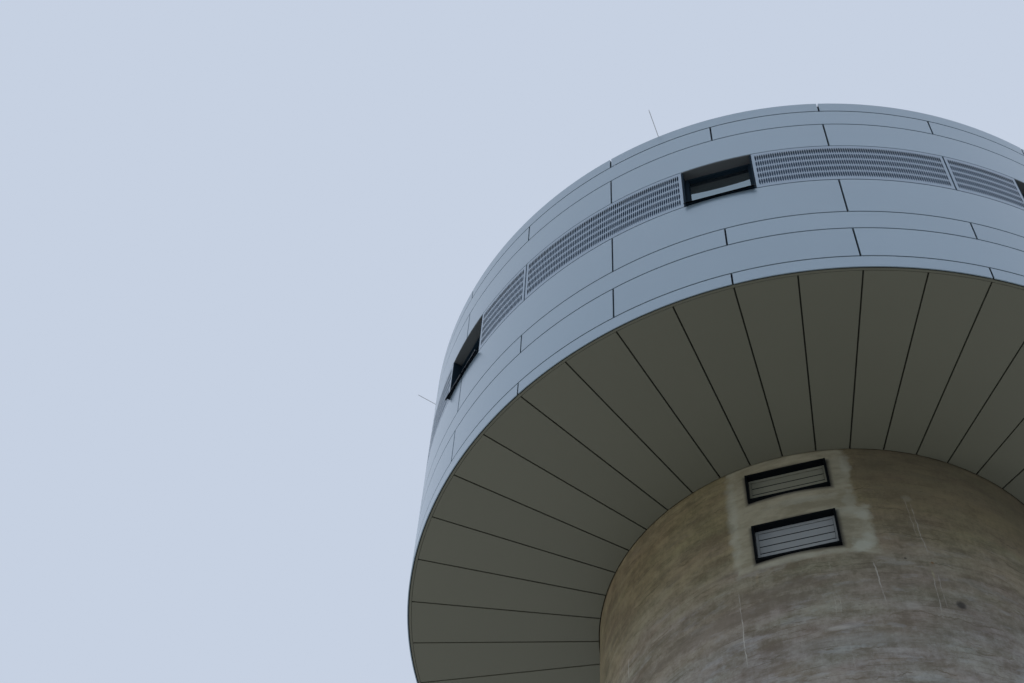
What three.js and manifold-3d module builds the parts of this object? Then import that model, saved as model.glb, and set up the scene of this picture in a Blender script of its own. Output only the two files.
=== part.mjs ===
// A round concrete water tower: a plain shaft with two louvred windows, and a wider drum on top of it.
// The drum is clad in curved metal panels, with a band of windows and slotted vent panels and a flat panelled
// soffit underneath. Millimetres, +Z up. The origin is on the ground at the tower's axis, and the column of
// shaft windows faces -Y. Angles are counted from the front (-Y) towards +X.
import * as THREE from "three";
import { mergeVertices } from "three/addons/utils/BufferGeometryUtils.js";
import Module from "manifold-3d";

const wasm = await Module();
wasm.setup();

// Driving dimensions
const SEAT_GAP = 0.3; // left between two pieces that rest on each other
const JOINT = 16; // open joint between cladding panels
const FACET = 5; // degrees of arc in one facet of a round wall
const SHAFT_RADIUS = 4380;
const SHAFT_WALL = 300;
const DRUM_RADIUS = 8000;
const SOFFIT_HEIGHT = 24000;
const COURSE_HEIGHTS = {
  fascia: 340,
  lower_tall: 950,
  lower_narrow: 590,
  sill_course: 1215,
  window_band: 1360,
  upper_tall: 950,
  upper_narrow: 590,
  coping: 355,
};
const SOFFIT_PANELS = 48;
const WINDOW_COUNT = 8;
const ROD_COUNT = 6;

// Structure
const GROUND_SLAB = 150;
const SOFFIT_VOID = 200; // soffit face to the slab over it
const BASE_SLAB = 300;
const UPPER_FLOOR_TOP = 26100;
const UPPER_FLOOR_SLAB = 200;
const UPPER_FLOOR_LEDGE = 120; // corbel ring under the upper floor
const CLADDING_DEPTH = 260; // cladding face to the concrete behind it
const DRUM_WALL = 250;
const ROOF_SLAB = 250;
const ROOF_SCREED = 30; // raised deck inside the parapet
const PARAPET_WALL = 250;

// Derived places
const SEAM_ANGLE = 360 / SOFFIT_PANELS;
const PANEL_ANGLE = 4 * SEAM_ANGLE;
const WINDOW_ANGLE = 360 / WINDOW_COUNT;
const WALL_RADIUS = DRUM_RADIUS - CLADDING_DEPTH;
const SLAB_BOTTOM = SOFFIT_HEIGHT + SOFFIT_VOID;
const SLAB_TOP = SLAB_BOTTOM + BASE_SLAB;
const COURSES = {};
let courseBase = SOFFIT_HEIGHT;
for (const [name, height] of Object.entries(COURSE_HEIGHTS)) {
  COURSES[name] = { bottom: courseBase, top: courseBase + height };
  courseBase += height;
}
const TOP = courseBase;
const COPING_SHEET = 30;
const PARAPET_TOP = TOP - COPING_SHEET - SEAT_GAP;
const ROOF_TOP = PARAPET_TOP - 320;
const DRUM_WALL_TOP = ROOF_TOP - ROOF_SLAB - SEAT_GAP;

// Materials, in the colours of the photograph
const FINISHES = {
  concrete: { color: 0x8f8a80, roughness: 0.9, metalness: 0.0 },
  cladding: { color: 0x9fb0c2, roughness: 0.38, metalness: 0.35 },
  soffit: { color: 0x6f716a, roughness: 0.5, metalness: 0.3 },
  grille: { color: 0xa3b2c2, roughness: 0.4, metalness: 0.35 },
  dark_frame: { color: 0x17191b, roughness: 0.45, metalness: 0.4 },
  louvre: { color: 0x9aa4ac, roughness: 0.35, metalness: 0.5 },
  glass: { color: 0x2c3a42, roughness: 0.05, metalness: 0.0 },
  door: { color: 0x5d666e, roughness: 0.5, metalness: 0.3 },
  rod: { color: 0xb5b8ba, roughness: 0.3, metalness: 0.9 },
};
const materials = {};
for (const [name, finish] of Object.entries(FINISHES)) {
  materials[name] = new THREE.MeshStandardMaterial(finish);
}

const tower = new THREE.Group();
const radians = THREE.MathUtils.degToRad;

// A three.js geometry as a solid that can be joined and cut
function solidOf(geometry) {
  const bare = geometry.index ? geometry.toNonIndexed() : geometry.clone();
  bare.deleteAttribute("normal");
  bare.deleteAttribute("uv");
  const merged = mergeVertices(bare, 1e-3);
  return new wasm.Manifold(
    new wasm.Mesh({
      numProp: 3,
      vertProperties: merged.attributes.position.array,
      triVerts: new Uint32Array(merged.index.array),
    }),
  );
}

// A joined or cut solid as a geometry again
function geometryOf(solid) {
  const mesh = solid.getMesh();
  const geometry = new THREE.BufferGeometry();
  geometry.setAttribute("position", new THREE.BufferAttribute(mesh.vertProperties, 3));
  geometry.setIndex(new THREE.BufferAttribute(mesh.triVerts, 1));
  geometry.computeVertexNormals();
  return geometry;
}

function addPiece(name, finish, geometry, turn = 0) {
  const mesh = new THREE.Mesh(geometry, materials[finish]);
  mesh.name = name;
  mesh.rotation.z = radians(turn);
  tower.add(mesh);
}

// Angles from one to another, with a facet edge on every multiple of FACET in between
function facetAngles(from, to) {
  const angles = [from];
  for (let a = Math.ceil(from / FACET + 0.1) * FACET; a < to - 0.1 * FACET; a += FACET) angles.push(a);
  angles.push(to);
  return angles;
}

// A closed outline of [radius, height] points, counter-clockwise, swept round the axis between two angles
function sector(outline, angles) {
  const positions = [];
  const place = ([radius, height], angle) => [
    radius * Math.sin(radians(angle)),
    -radius * Math.cos(radians(angle)),
    height,
  ];
  const triangle = (a, b, c) => positions.push(...a, ...b, ...c);
  for (let i = 0; i + 1 < angles.length; i++) {
    outline.forEach((point, j) => {
      const next = outline[(j + 1) % outline.length];
      const [a, b] = [place(point, angles[i]), place(point, angles[i + 1])];
      const [c, d] = [place(next, angles[i]), place(next, angles[i + 1])];
      triangle(a, b, d);
      triangle(a, d, c);
    });
  }
  const faces = THREE.ShapeUtils.triangulateShape(
    outline.map(([radius, height]) => new THREE.Vector2(radius, height)),
    [],
  );
  const last = angles.length - 1;
  const endFace = (angle, ...corners) => triangle(...corners.map((i) => place(outline[i], angle)));
  for (const [a, b, c] of faces) {
    endFace(angles[0], a, b, c);
    endFace(angles[last], a, c, b);
  }
  const geometry = new THREE.BufferGeometry();
  geometry.setAttribute("position", new THREE.Float32BufferAttribute(positions, 3));
  return geometry;
}

// A profile of [radius, height] points turned all the way round, which starts and ends on the axis or closes
function spun(profile, sides = 360 / FACET) {
  const points = profile.map(([radius, height]) => new THREE.Vector2(radius, height));
  return new THREE.LatheGeometry(points, sides).rotateX(Math.PI / 2);
}

// A closed outline turned all the way round
function ring(outline, sides) {
  return spun([...outline, outline[0]], sides);
}

function disc(radius, bottom, top) {
  const thickness = top - bottom;
  return new THREE.CylinderGeometry(radius, radius, thickness, 360 / FACET)
    .rotateX(Math.PI / 2)
    .translate(0, 0, bottom + thickness / 2);
}

// A box given by its limits, turned round the tower's axis
function block([x0, x1], [y0, y1], [z0, z1], turn = 0) {
  return new THREE.BoxGeometry(x1 - x0, y1 - y0, z1 - z0)
    .translate((x0 + x1) / 2, (y0 + y1) / 2, (z0 + z1) / 2)
    .rotateZ(radians(turn));
}

const rectangle = (inner, outer, bottom, top) => [
  [inner, bottom],
  [outer, bottom],
  [outer, top],
  [inner, top],
];

function joined(geometries) {
  return geometries.map(solidOf).reduce((all, solid) => all.add(solid));
}

function cutBy(solid, geometries) {
  return geometries.map(solidOf).reduce((rest, cutter) => rest.subtract(cutter), solid);
}

// Upright panel joints cut into the face of a ring
function jointCutters(firstAngle, radius, depth, bottom, top) {
  const cutters = [];
  const [across, inwards] = [[-JOINT / 2, JOINT / 2], [-radius - JOINT, -radius + depth]];
  for (let angle = firstAngle; angle < firstAngle + 360 - 0.01; angle += PANEL_ANGLE) {
    cutters.push(block(across, inwards, [bottom - JOINT, top + JOINT], angle));
  }
  return cutters;
}

const QUADRANTS = { front: 0, right: 90, back: 180, left: 270 };
const QUADRANT_TRIM = 0.002; // degrees taken off each end, so that neighbours don't touch
const quadrantAngles = facetAngles(-45 + QUADRANT_TRIM, 45 - QUADRANT_TRIM);

// Shaft windows: a flat black box frame that stands a little out of the wall, and louvre blades inside it
const SHAFT_WINDOWS = {
  upper_shaft: { bottom: SOFFIT_HEIGHT - 985, top: SOFFIT_HEIGHT - 290, blades: 2 },
  lower_shaft: { bottom: SOFFIT_HEIGHT - 2522, top: SOFFIT_HEIGHT - 1658, blades: 3 },
};
const SHAFT_WINDOW_WIDTH = 1400;
const SHAFT_FRAME_FRONT = SHAFT_RADIUS + 20;
const SHAFT_FRAME_DEPTH = 240;
const SHAFT_FRAME_WALL = 40;
const LOUVRE_RECESS = 120;
const LOUVRE_DEPTH = 50;
const LOUVRE_BORDER = 38;
const LOUVRE_HEAD = 55; // strip over the top blade
const BLADE_PITCH = 173;
const BLADE_THICKNESS = 10;
const BLADE_TILT = 6; // degrees, the lower edge of each blade outermost

// Entrance door in the shaft's foot
const DOOR_WIDTH = 1200;
const DOOR_TOP = GROUND_SLAB + 2150;
const DOOR_FRAME_WALL = 60;
const DOOR_FRAME_FRONT = Math.sqrt(SHAFT_RADIUS ** 2 - (DOOR_WIDTH / 2) ** 2) - 5;
const DOOR_FRAME_DEPTH = 140;
const DOOR_LEAF_RECESS = 20;
const DOOR_LEAF_THICKNESS = 55;

function buildShaft() {
  const inner = SHAFT_RADIUS - SHAFT_WALL;
  const wall = rectangle(inner, SHAFT_RADIUS, 0, SLAB_BOTTOM - SEAT_GAP);
  for (const [side, turn] of Object.entries(QUADRANTS)) {
    if (side !== "front") addPiece(`shaft_wall_${side}`, "concrete", sector(wall, quadrantAngles), turn);
  }
  const through = [-SHAFT_RADIUS - JOINT, -inner * Math.cos(radians(45))];
  const openings = Object.values(SHAFT_WINDOWS).map(({ bottom, top }) => {
    const half = SHAFT_WINDOW_WIDTH / 2 + SEAT_GAP;
    return block([-half, half], through, [bottom - SEAT_GAP, top + SEAT_GAP]);
  });
  const halfDoor = DOOR_WIDTH / 2 + SEAT_GAP;
  openings.push(block([-halfDoor, halfDoor], through, [GROUND_SLAB, DOOR_TOP + SEAT_GAP]));
  const front = cutBy(solidOf(sector(wall, quadrantAngles)), openings);
  addPiece("shaft_wall_front", "concrete", geometryOf(front));
  addPiece("ground_floor_slab", "concrete", disc(inner - SEAT_GAP, 0, GROUND_SLAB));
}

function boxFrame(halfWidth, bottom, top, front, back, wall) {
  const outer = solidOf(block([-halfWidth, halfWidth], [front, back], [bottom, top]));
  return cutBy(outer, [
    block([-halfWidth + wall, halfWidth - wall], [front - JOINT, back + JOINT], [bottom + wall, top - wall]),
  ]);
}

function buildShaftWindows() {
  for (const [name, { bottom, top, blades }] of Object.entries(SHAFT_WINDOWS)) {
    const front = -SHAFT_FRAME_FRONT;
    const back = front + SHAFT_FRAME_DEPTH;
    const frame = boxFrame(SHAFT_WINDOW_WIDTH / 2, bottom, top, front, back, SHAFT_FRAME_WALL);
    addPiece(`${name}_window_frame`, "dark_frame", geometryOf(frame));

    const inset = SHAFT_FRAME_WALL + SEAT_GAP;
    const half = SHAFT_WINDOW_WIDTH / 2 - inset;
    const clear = half - LOUVRE_BORDER;
    const face = front + LOUVRE_RECESS;
    const bladeTop = top - inset - LOUVRE_HEAD;
    const bladeBottom = bladeTop - blades * BLADE_PITCH;
    const plate = block([-half, half], [face, face + LOUVRE_DEPTH], [bottom + inset, top - inset]);
    const border = cutBy(solidOf(plate), [
      block([-clear, clear], [face - JOINT, face + LOUVRE_DEPTH + JOINT], [bladeBottom, bladeTop]),
    ]);
    const parts = [];
    for (let i = 0; i < blades; i++) {
      parts.push(
        new THREE.BoxGeometry(2 * clear + LOUVRE_BORDER, BLADE_THICKNESS, BLADE_PITCH * 0.99)
          .rotateX(radians(BLADE_TILT))
          .translate(0, face + LOUVRE_DEPTH / 2, bladeBottom + (i + 0.5) * BLADE_PITCH),
      );
    }
    const louvre = parts.map(solidOf).reduce((all, blade) => all.add(blade), border);
    addPiece(`${name}_louvre`, "louvre", geometryOf(louvre));
  }
}

function buildDoor() {
  const front = -DOOR_FRAME_FRONT;
  const half = DOOR_WIDTH / 2;
  const threshold = GROUND_SLAB + SEAT_GAP;
  const outer = block([-half, half], [front, front + DOOR_FRAME_DEPTH], [threshold, DOOR_TOP]);
  const clear = half - DOOR_FRAME_WALL;
  const frame = cutBy(solidOf(outer), [
    block([-clear, clear], [front - JOINT, 0], [GROUND_SLAB - JOINT, DOOR_TOP - DOOR_FRAME_WALL]),
  ]);
  addPiece("entrance_door_frame", "dark_frame", geometryOf(frame));
  const leafHalf = clear - SEAT_GAP;
  const leafFront = front + DOOR_LEAF_RECESS;
  addPiece(
    "entrance_door",
    "door",
    block(
      [-leafHalf, leafHalf],
      [leafFront, leafFront + DOOR_LEAF_THICKNESS],
      [threshold, DOOR_TOP - DOOR_FRAME_WALL - SEAT_GAP],
    ),
  );
}

// Drum windows: a flat frame with a deep lining that reaches the cladding's face, and a pane set well back
const WINDOW_WIDTH = 1310;
const WINDOW_FRONT = Math.sqrt(DRUM_RADIUS ** 2 - (WINDOW_WIDTH / 2) ** 2);
const WINDOW_BACK = WALL_RADIUS - 90;
const LINING = 25;
const CASEMENT_FACE = 60;
const CASEMENT_FRONT = DRUM_RADIUS - 225;
const CASEMENT_DEPTH = 90;
const PANE_FRONT = DRUM_RADIUS - 285;
const PANE_THICKNESS = 24;
const SILL_THICKNESS = 30;
const SILL_FRONT = DRUM_RADIUS + 50;
const SILL_DRIP = 20;

function buildWindow(index) {
  const { bottom, top } = COURSES.window_band;
  const turn = index * WINDOW_ANGLE;
  const half = WINDOW_WIDTH / 2;
  const sillBottom = bottom - JOINT / 2 + SEAT_GAP;
  const lining = boxFrame(half, bottom, top, -WINDOW_FRONT, -WINDOW_BACK, LINING);
  const casement = cutBy(
    solidOf(block([-half, half], [-CASEMENT_FRONT, -CASEMENT_FRONT + CASEMENT_DEPTH], [bottom, top])),
    [
      block(
        [-half + LINING + CASEMENT_FACE, half - LINING - CASEMENT_FACE],
        [-CASEMENT_FRONT - JOINT, -WINDOW_BACK + JOINT],
        [bottom + LINING + CASEMENT_FACE, top - LINING - CASEMENT_FACE],
      ),
    ],
  );
  const sill = joined([
    block([-half, half], [-SILL_FRONT, -CASEMENT_FRONT + 1], [sillBottom, sillBottom + SILL_THICKNESS]),
    block([-half, half], [-SILL_FRONT, -DRUM_RADIUS - 4], [sillBottom - SILL_DRIP, sillBottom + 1]),
  ]);
  const frame = lining.add(casement).add(sill);
  addPiece(`window_frame_${index + 1}`, "dark_frame", geometryOf(frame), turn);

  const paneHalf = half - LINING - CASEMENT_FACE - SEAT_GAP;
  addPiece(
    `window_pane_${index + 1}`,
    "glass",
    block(
      [-paneHalf, paneHalf],
      [-PANE_FRONT, -PANE_FRONT + PANE_THICKNESS],
      [bottom + LINING + CASEMENT_FACE + SEAT_GAP, top - LINING - CASEMENT_FACE - SEAT_GAP],
    ),
    turn,
  );
}

// Slotted vent panels between two windows, carried by two rails that reach the wall
const GRILLE_SHEET = 30;
const RAIL_HEIGHT = 40;
const RAIL_INSET = 60;

function buildGrille(index) {
  const { bottom, top } = COURSES.window_band;
  const gapAngle = THREE.MathUtils.radToDeg(Math.asin((WINDOW_WIDTH / 2 + JOINT / 2) / DRUM_RADIUS));
  const turn = index * WINDOW_ANGLE;
  const [low, high] = [bottom + JOINT / 2, top - JOINT / 2];
  const skin = sector(
    rectangle(DRUM_RADIUS - GRILLE_SHEET, DRUM_RADIUS, low, high),
    facetAngles(gapAngle, WINDOW_ANGLE - gapAngle),
  );
  const railAngles = facetAngles(FACET, WINDOW_ANGLE - FACET);
  const [railInner, railOuter] = [WALL_RADIUS + SEAT_GAP, DRUM_RADIUS - GRILLE_SHEET + 1];
  const rails = [low + RAIL_INSET, high - RAIL_INSET - RAIL_HEIGHT].map((z) =>
    sector(rectangle(railInner, railOuter, z, z + RAIL_HEIGHT), railAngles),
  );
  // The joint between the long and the short panel lies on a panel line of the courses below
  const onPanelLine = Math.ceil((turn + gapAngle) / PANEL_ANGLE) * PANEL_ANGLE - turn;
  const split = block(
    [-JOINT / 4, JOINT / 4],
    [-DRUM_RADIUS - JOINT, -DRUM_RADIUS + GRILLE_SHEET / 2],
    [low - JOINT, high + JOINT],
    onPanelLine,
  );
  const panels = cutBy(joined([skin, ...rails]), [split]);
  addPiece(`vent_grille_${index + 1}`, "grille", geometryOf(panels), turn);
}

function buildDrumStructure() {
  addPiece("drum_base_slab", "concrete", disc(WALL_RADIUS, SLAB_BOTTOM, SLAB_TOP));
  const innerRadius = WALL_RADIUS - DRUM_WALL;
  const floorBottom = UPPER_FLOOR_TOP - UPPER_FLOOR_SLAB;
  addPiece("upper_floor_slab", "concrete", disc(innerRadius - SEAT_GAP, floorBottom, UPPER_FLOOR_TOP));

  // The wall has a corbel inside that the upper floor rests on
  const corbelTop = floorBottom - SEAT_GAP;
  const wall = [
    [innerRadius, SLAB_TOP + SEAT_GAP],
    [WALL_RADIUS, SLAB_TOP + SEAT_GAP],
    [WALL_RADIUS, DRUM_WALL_TOP],
    [innerRadius, DRUM_WALL_TOP],
    [innerRadius, corbelTop],
    [innerRadius - UPPER_FLOOR_LEDGE, corbelTop],
    [innerRadius - UPPER_FLOOR_LEDGE, corbelTop - UPPER_FLOOR_LEDGE],
    [innerRadius, corbelTop - 2 * UPPER_FLOOR_LEDGE],
  ];
  const { bottom, top } = COURSES.window_band;
  const half = WINDOW_WIDTH / 2 + SEAT_GAP;
  const through = [-DRUM_RADIUS, -innerRadius + DRUM_WALL];
  const cutters = [-WINDOW_ANGLE, 0, WINDOW_ANGLE].map((turn) =>
    block([-half, half], through, [bottom - SEAT_GAP, top + SEAT_GAP], turn),
  );
  const quadrant = geometryOf(cutBy(solidOf(sector(wall, quadrantAngles)), cutters));
  for (const [side, turn] of Object.entries(QUADRANTS)) {
    addPiece(`drum_wall_${side}`, "concrete", quadrant.clone(), turn);
  }

  // The roof slab carries a raised deck inside the parapet
  const parapetInner = WALL_RADIUS - PARAPET_WALL;
  const rimTop = ROOF_TOP - ROOF_SCREED;
  const roof = [
    [0, ROOF_TOP - ROOF_SLAB],
    [WALL_RADIUS, ROOF_TOP - ROOF_SLAB],
    [WALL_RADIUS, rimTop],
    [parapetInner - JOINT, rimTop],
    [parapetInner - JOINT, ROOF_TOP],
    [0, ROOF_TOP],
  ];
  addPiece("roof_slab", "concrete", geometryOf(solidOf(spun(roof))));
  const parapet = ring(rectangle(parapetInner, WALL_RADIUS, rimTop + SEAT_GAP, PARAPET_TOP));
  addPiece("parapet", "concrete", parapet);
}

// Cladding courses: a ring of curved panels hung on a rail that reaches the wall
const PANEL_DEPTH = 40;
// The angle of each course's first upright joint
const COURSE_JOINTS = {
  lower_tall: PANEL_ANGLE / 2,
  lower_narrow: 0,
  sill_course: PANEL_ANGLE / 2,
  upper_tall: PANEL_ANGLE / 2,
  upper_narrow: 0,
};
const FASCIA_SHEET = 20;
const COPING_INNER = WALL_RADIUS - PARAPET_WALL - 60;
const COPING_INNER_DROP = 150;

function buildCourses() {
  const back = DRUM_RADIUS - PANEL_DEPTH;
  const wallFace = WALL_RADIUS + SEAT_GAP;
  for (const [name, firstJoint] of Object.entries(COURSE_JOINTS)) {
    const low = COURSES[name].bottom + JOINT / 2;
    const high = COURSES[name].top - JOINT / 2;
    const railLow = (low + high - RAIL_HEIGHT) / 2;
    const outline = [
      [back, low],
      [DRUM_RADIUS, low],
      [DRUM_RADIUS, high],
      [back, high],
      [back, railLow + RAIL_HEIGHT],
      [wallFace, railLow + RAIL_HEIGHT],
      [wallFace, railLow],
      [back, railLow],
    ];
    const cutters = jointCutters(firstJoint, DRUM_RADIUS, PANEL_DEPTH - 10, low, high);
    const label = name.endsWith("course") ? name : `${name}_course`;
    addPiece(label, "cladding", geometryOf(cutBy(solidOf(ring(outline)), cutters)));
  }
}

function buildFascia() {
  const { bottom, top } = COURSES.fascia;
  const back = DRUM_RADIUS - FASCIA_SHEET;
  const high = top - JOINT / 2;
  const railLow = SLAB_BOTTOM + 2 * JOINT;
  const outline = [
    [back, bottom],
    [DRUM_RADIUS, bottom],
    [DRUM_RADIUS, high],
    [back, high],
    [back, railLow + RAIL_HEIGHT],
    [WALL_RADIUS + SEAT_GAP, railLow + RAIL_HEIGHT],
    [WALL_RADIUS + SEAT_GAP, railLow],
    [back, railLow],
  ];
  const cutters = jointCutters(0, DRUM_RADIUS, FASCIA_SHEET / 2, bottom, high);
  addPiece("fascia_ring", "cladding", geometryOf(cutBy(solidOf(ring(outline)), cutters)));
}

function buildCoping() {
  const low = COURSES.coping.bottom + JOINT / 2;
  const underside = TOP - COPING_SHEET;
  const outline = [
    [DRUM_RADIUS - COPING_SHEET, low],
    [DRUM_RADIUS, low],
    [DRUM_RADIUS, TOP],
    [COPING_INNER, TOP],
    [COPING_INNER, TOP - COPING_INNER_DROP],
    [COPING_INNER + COPING_SHEET, TOP - COPING_INNER_DROP],
    [COPING_INNER + COPING_SHEET, underside],
    [DRUM_RADIUS - COPING_SHEET, underside],
  ];
  const cutters = jointCutters(PANEL_ANGLE / 2, DRUM_RADIUS, COPING_SHEET - 10, low, TOP);
  addPiece("coping", "cladding", geometryOf(cutBy(solidOf(ring(outline)), cutters)));
}

// Soffit: wedge-shaped panels side by side inside a plain edge strip, hung from the slab on two round rails
const SOFFIT_SHEET = 30;
const SOFFIT_INNER = SHAFT_RADIUS + 20;
const SOFFIT_OUTER = DRUM_RADIUS - FASCIA_SHEET - JOINT;
const SOFFIT_EDGE = 80; // plain strip outside the panels
const SOFFIT_SEAM_DEPTH = 20;
const HANGER_WIDTH = 40;
const HANGER_INSET = 320;

function buildSoffit() {
  const sheetTop = SOFFIT_HEIGHT + SOFFIT_SHEET;
  const hangerTop = SLAB_BOTTOM - SEAT_GAP;
  const [innerRail, outerRail] = [SOFFIT_INNER + HANGER_INSET, SOFFIT_OUTER - HANGER_INSET];
  const outline = [
    [SOFFIT_INNER, SOFFIT_HEIGHT],
    [SOFFIT_OUTER, SOFFIT_HEIGHT],
    [SOFFIT_OUTER, sheetTop],
    [outerRail, sheetTop],
    [outerRail, hangerTop],
    [outerRail - HANGER_WIDTH, hangerTop],
    [outerRail - HANGER_WIDTH, sheetTop],
    [innerRail + HANGER_WIDTH, sheetTop],
    [innerRail + HANGER_WIDTH, hangerTop],
    [innerRail, hangerTop],
    [innerRail, sheetTop],
    [SOFFIT_INNER, sheetTop],
  ];
  const seams = [];
  for (let i = 0; i < SOFFIT_PANELS; i++) {
    seams.push(
      block(
        [-JOINT / 2, JOINT / 2],
        [-SOFFIT_OUTER + SOFFIT_EDGE, -SOFFIT_INNER + JOINT],
        [SOFFIT_HEIGHT - JOINT, SOFFIT_HEIGHT + SOFFIT_SEAM_DEPTH],
        i * SEAM_ANGLE,
      ),
    );
  }
  const panels = cutBy(solidOf(ring(outline, SOFFIT_PANELS)), seams);
  addPiece("soffit_panels", "soffit", geometryOf(panels));
}

// Lightning protection: a flat conductor round the coping, with rods that lean out over the edge
const ROD_FIRST_ANGLE = -7.5;
const ROD_RADIUS = 8;
const ROD_FOOT = 7905;
const ROD_TIP = 8440;
const ROD_RISE = 390;
const CONDUCTOR = { inner: 7865, outer: 7895, thickness: 4 };
const CLAMP = { width: 60, height: 40 };

function buildLightningRods() {
  const floor = TOP + SEAT_GAP;
  const { inner, outer, thickness } = CONDUCTOR;
  const parts = [ring(rectangle(inner, outer, floor, floor + thickness), SOFFIT_PANELS)];
  const length = Math.hypot(ROD_TIP - ROD_FOOT, ROD_RISE);
  const lean = Math.atan2(ROD_TIP - ROD_FOOT, ROD_RISE);
  for (let i = 0; i < ROD_COUNT; i++) {
    const turn = ROD_FIRST_ANGLE + (i * 360) / ROD_COUNT;
    const halfClamp = CLAMP.width / 2;
    parts.push(
      block([-halfClamp, halfClamp], [-ROD_FOOT - halfClamp, -inner], [floor, floor + CLAMP.height], turn),
      new THREE.CylinderGeometry(ROD_RADIUS, ROD_RADIUS, length, 8)
        .rotateX(Math.PI / 2)
        .translate(0, 0, length / 2)
        .rotateX(lean)
        .translate(0, -ROD_FOOT, floor + CLAMP.height / 2)
        .rotateZ(radians(turn)),
    );
  }
  addPiece("lightning_rods", "rod", geometryOf(joined(parts)));
}

buildShaft();
buildShaftWindows();
buildDoor();
buildDrumStructure();
for (let i = 0; i < WINDOW_COUNT; i++) {
  buildWindow(i);
  buildGrille(i);
}
buildCourses();
buildFascia();
buildCoping();
buildSoffit();
buildLightningRods();

export default tower;
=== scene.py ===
"""A round concrete water tower whose wider drum is clad in curved metal panels, dressed for rendering.

Units are metres and degrees, +Z is up and the origin is on the ground at the tower's axis. Angles are
counted from the front, -Y, towards +X.
"""

from __future__ import annotations

import logging
import math
from collections.abc import Iterable, Sequence
from dataclasses import dataclass, field
from enum import Enum
from functools import lru_cache
from typing import Any, ClassVar

import bmesh
import bpy
from mathutils import Matrix, Vector


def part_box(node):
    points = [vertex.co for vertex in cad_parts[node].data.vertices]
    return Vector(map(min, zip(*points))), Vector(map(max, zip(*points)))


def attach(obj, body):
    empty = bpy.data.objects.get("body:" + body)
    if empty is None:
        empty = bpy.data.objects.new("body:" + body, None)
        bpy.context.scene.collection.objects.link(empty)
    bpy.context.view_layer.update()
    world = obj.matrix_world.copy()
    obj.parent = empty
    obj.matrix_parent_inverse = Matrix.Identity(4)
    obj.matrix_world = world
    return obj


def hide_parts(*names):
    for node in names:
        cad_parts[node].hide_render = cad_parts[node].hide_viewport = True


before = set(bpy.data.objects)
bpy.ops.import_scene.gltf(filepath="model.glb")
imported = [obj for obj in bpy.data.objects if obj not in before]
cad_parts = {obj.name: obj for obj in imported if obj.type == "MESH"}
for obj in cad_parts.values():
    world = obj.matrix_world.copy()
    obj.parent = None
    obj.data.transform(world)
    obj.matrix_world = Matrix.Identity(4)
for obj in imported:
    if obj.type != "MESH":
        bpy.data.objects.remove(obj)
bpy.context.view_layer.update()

BODY = "root"
JOINT = 0.030  # open joint between cladding panels
SHADOW = 0.0070  # taken off each level edge of a panel, so that level joints are as wide
SMOOTH_BELOW = 20.0  # degrees between faces that are shaded as one surface
BEVEL_ABOVE = 50.0  # degrees between faces whose edge is rounded
FULL_TURN = 360.0
FACET = 1.25  # degrees from facet to facet of a curved sheet
RING_SIDES = 288  # facets of a whole ring
PANELS = 12  # cladding panels round the drum
WINDOWS = 8  # drum windows
WINDOW_HALF = 0.655
BOX_FACES = ((0, 2, 3, 1), (4, 5, 7, 6), (0, 1, 5, 4), (2, 6, 7, 3), (0, 4, 6, 2), (1, 3, 7, 5))
SIDES = ("front", "right", "back", "left")

Span = tuple[float, float]
Outline = Sequence[Span]
Colour = tuple[float, float, float]
Material = bpy.types.Material
Mesh = bpy.types.Mesh

log = logging.getLogger("water_tower")


class Slot(Enum):
    """The record's material slots."""

    CONCRETE = "concrete"
    CLADDING = "cladding"
    SOFFIT = "soffit"
    GRILLE = "grille"
    DARK_FRAME = "dark_frame"
    LOUVRE = "louvre"
    GLASS = "glass"
    DOOR = "door"
    ROD = "rod"


class Bond(Enum):
    """Where a course's upright joints stand, as the angle of its first joint."""

    OVER_WINDOW = 0.0
    BETWEEN = 15.0


def polar(radius: float, angle: float, height: float) -> Vector:
    """A point at a radius, an angle in degrees from the front and a height."""
    a = math.radians(angle)
    return Vector((radius * math.sin(a), -radius * math.cos(a), height))


def arc_angles(start: float, end: float, step: float = FACET) -> list[float]:
    """Angles from start to end in equal steps no wider than step."""
    count = max(1, math.ceil((end - start) / step - 1e-6))
    return [start + (end - start) * i / count for i in range(count + 1)]


def subtended(width: float, radius: float) -> float:
    """The angle in degrees that a chord's half width takes up at a radius."""
    return math.degrees(math.asin(width / radius))


def rectangle(inner: float, outer: float, low: float, high: float) -> Outline:
    """A rectangular outline of [radius, height] points, counter-clockwise."""
    return ((inner, low), (outer, low), (outer, high), (inner, high))


def heights(node: str) -> Span:
    """The foot and the head of a CAD node."""
    low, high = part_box(node)
    return low.z, high.z


def linked(name: str, data: bpy.types.ID) -> bpy.types.Object:
    """A new object, linked to the scene."""
    made = bpy.data.objects.new(name, data)
    bpy.context.scene.collection.objects.link(made)
    return made


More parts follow.
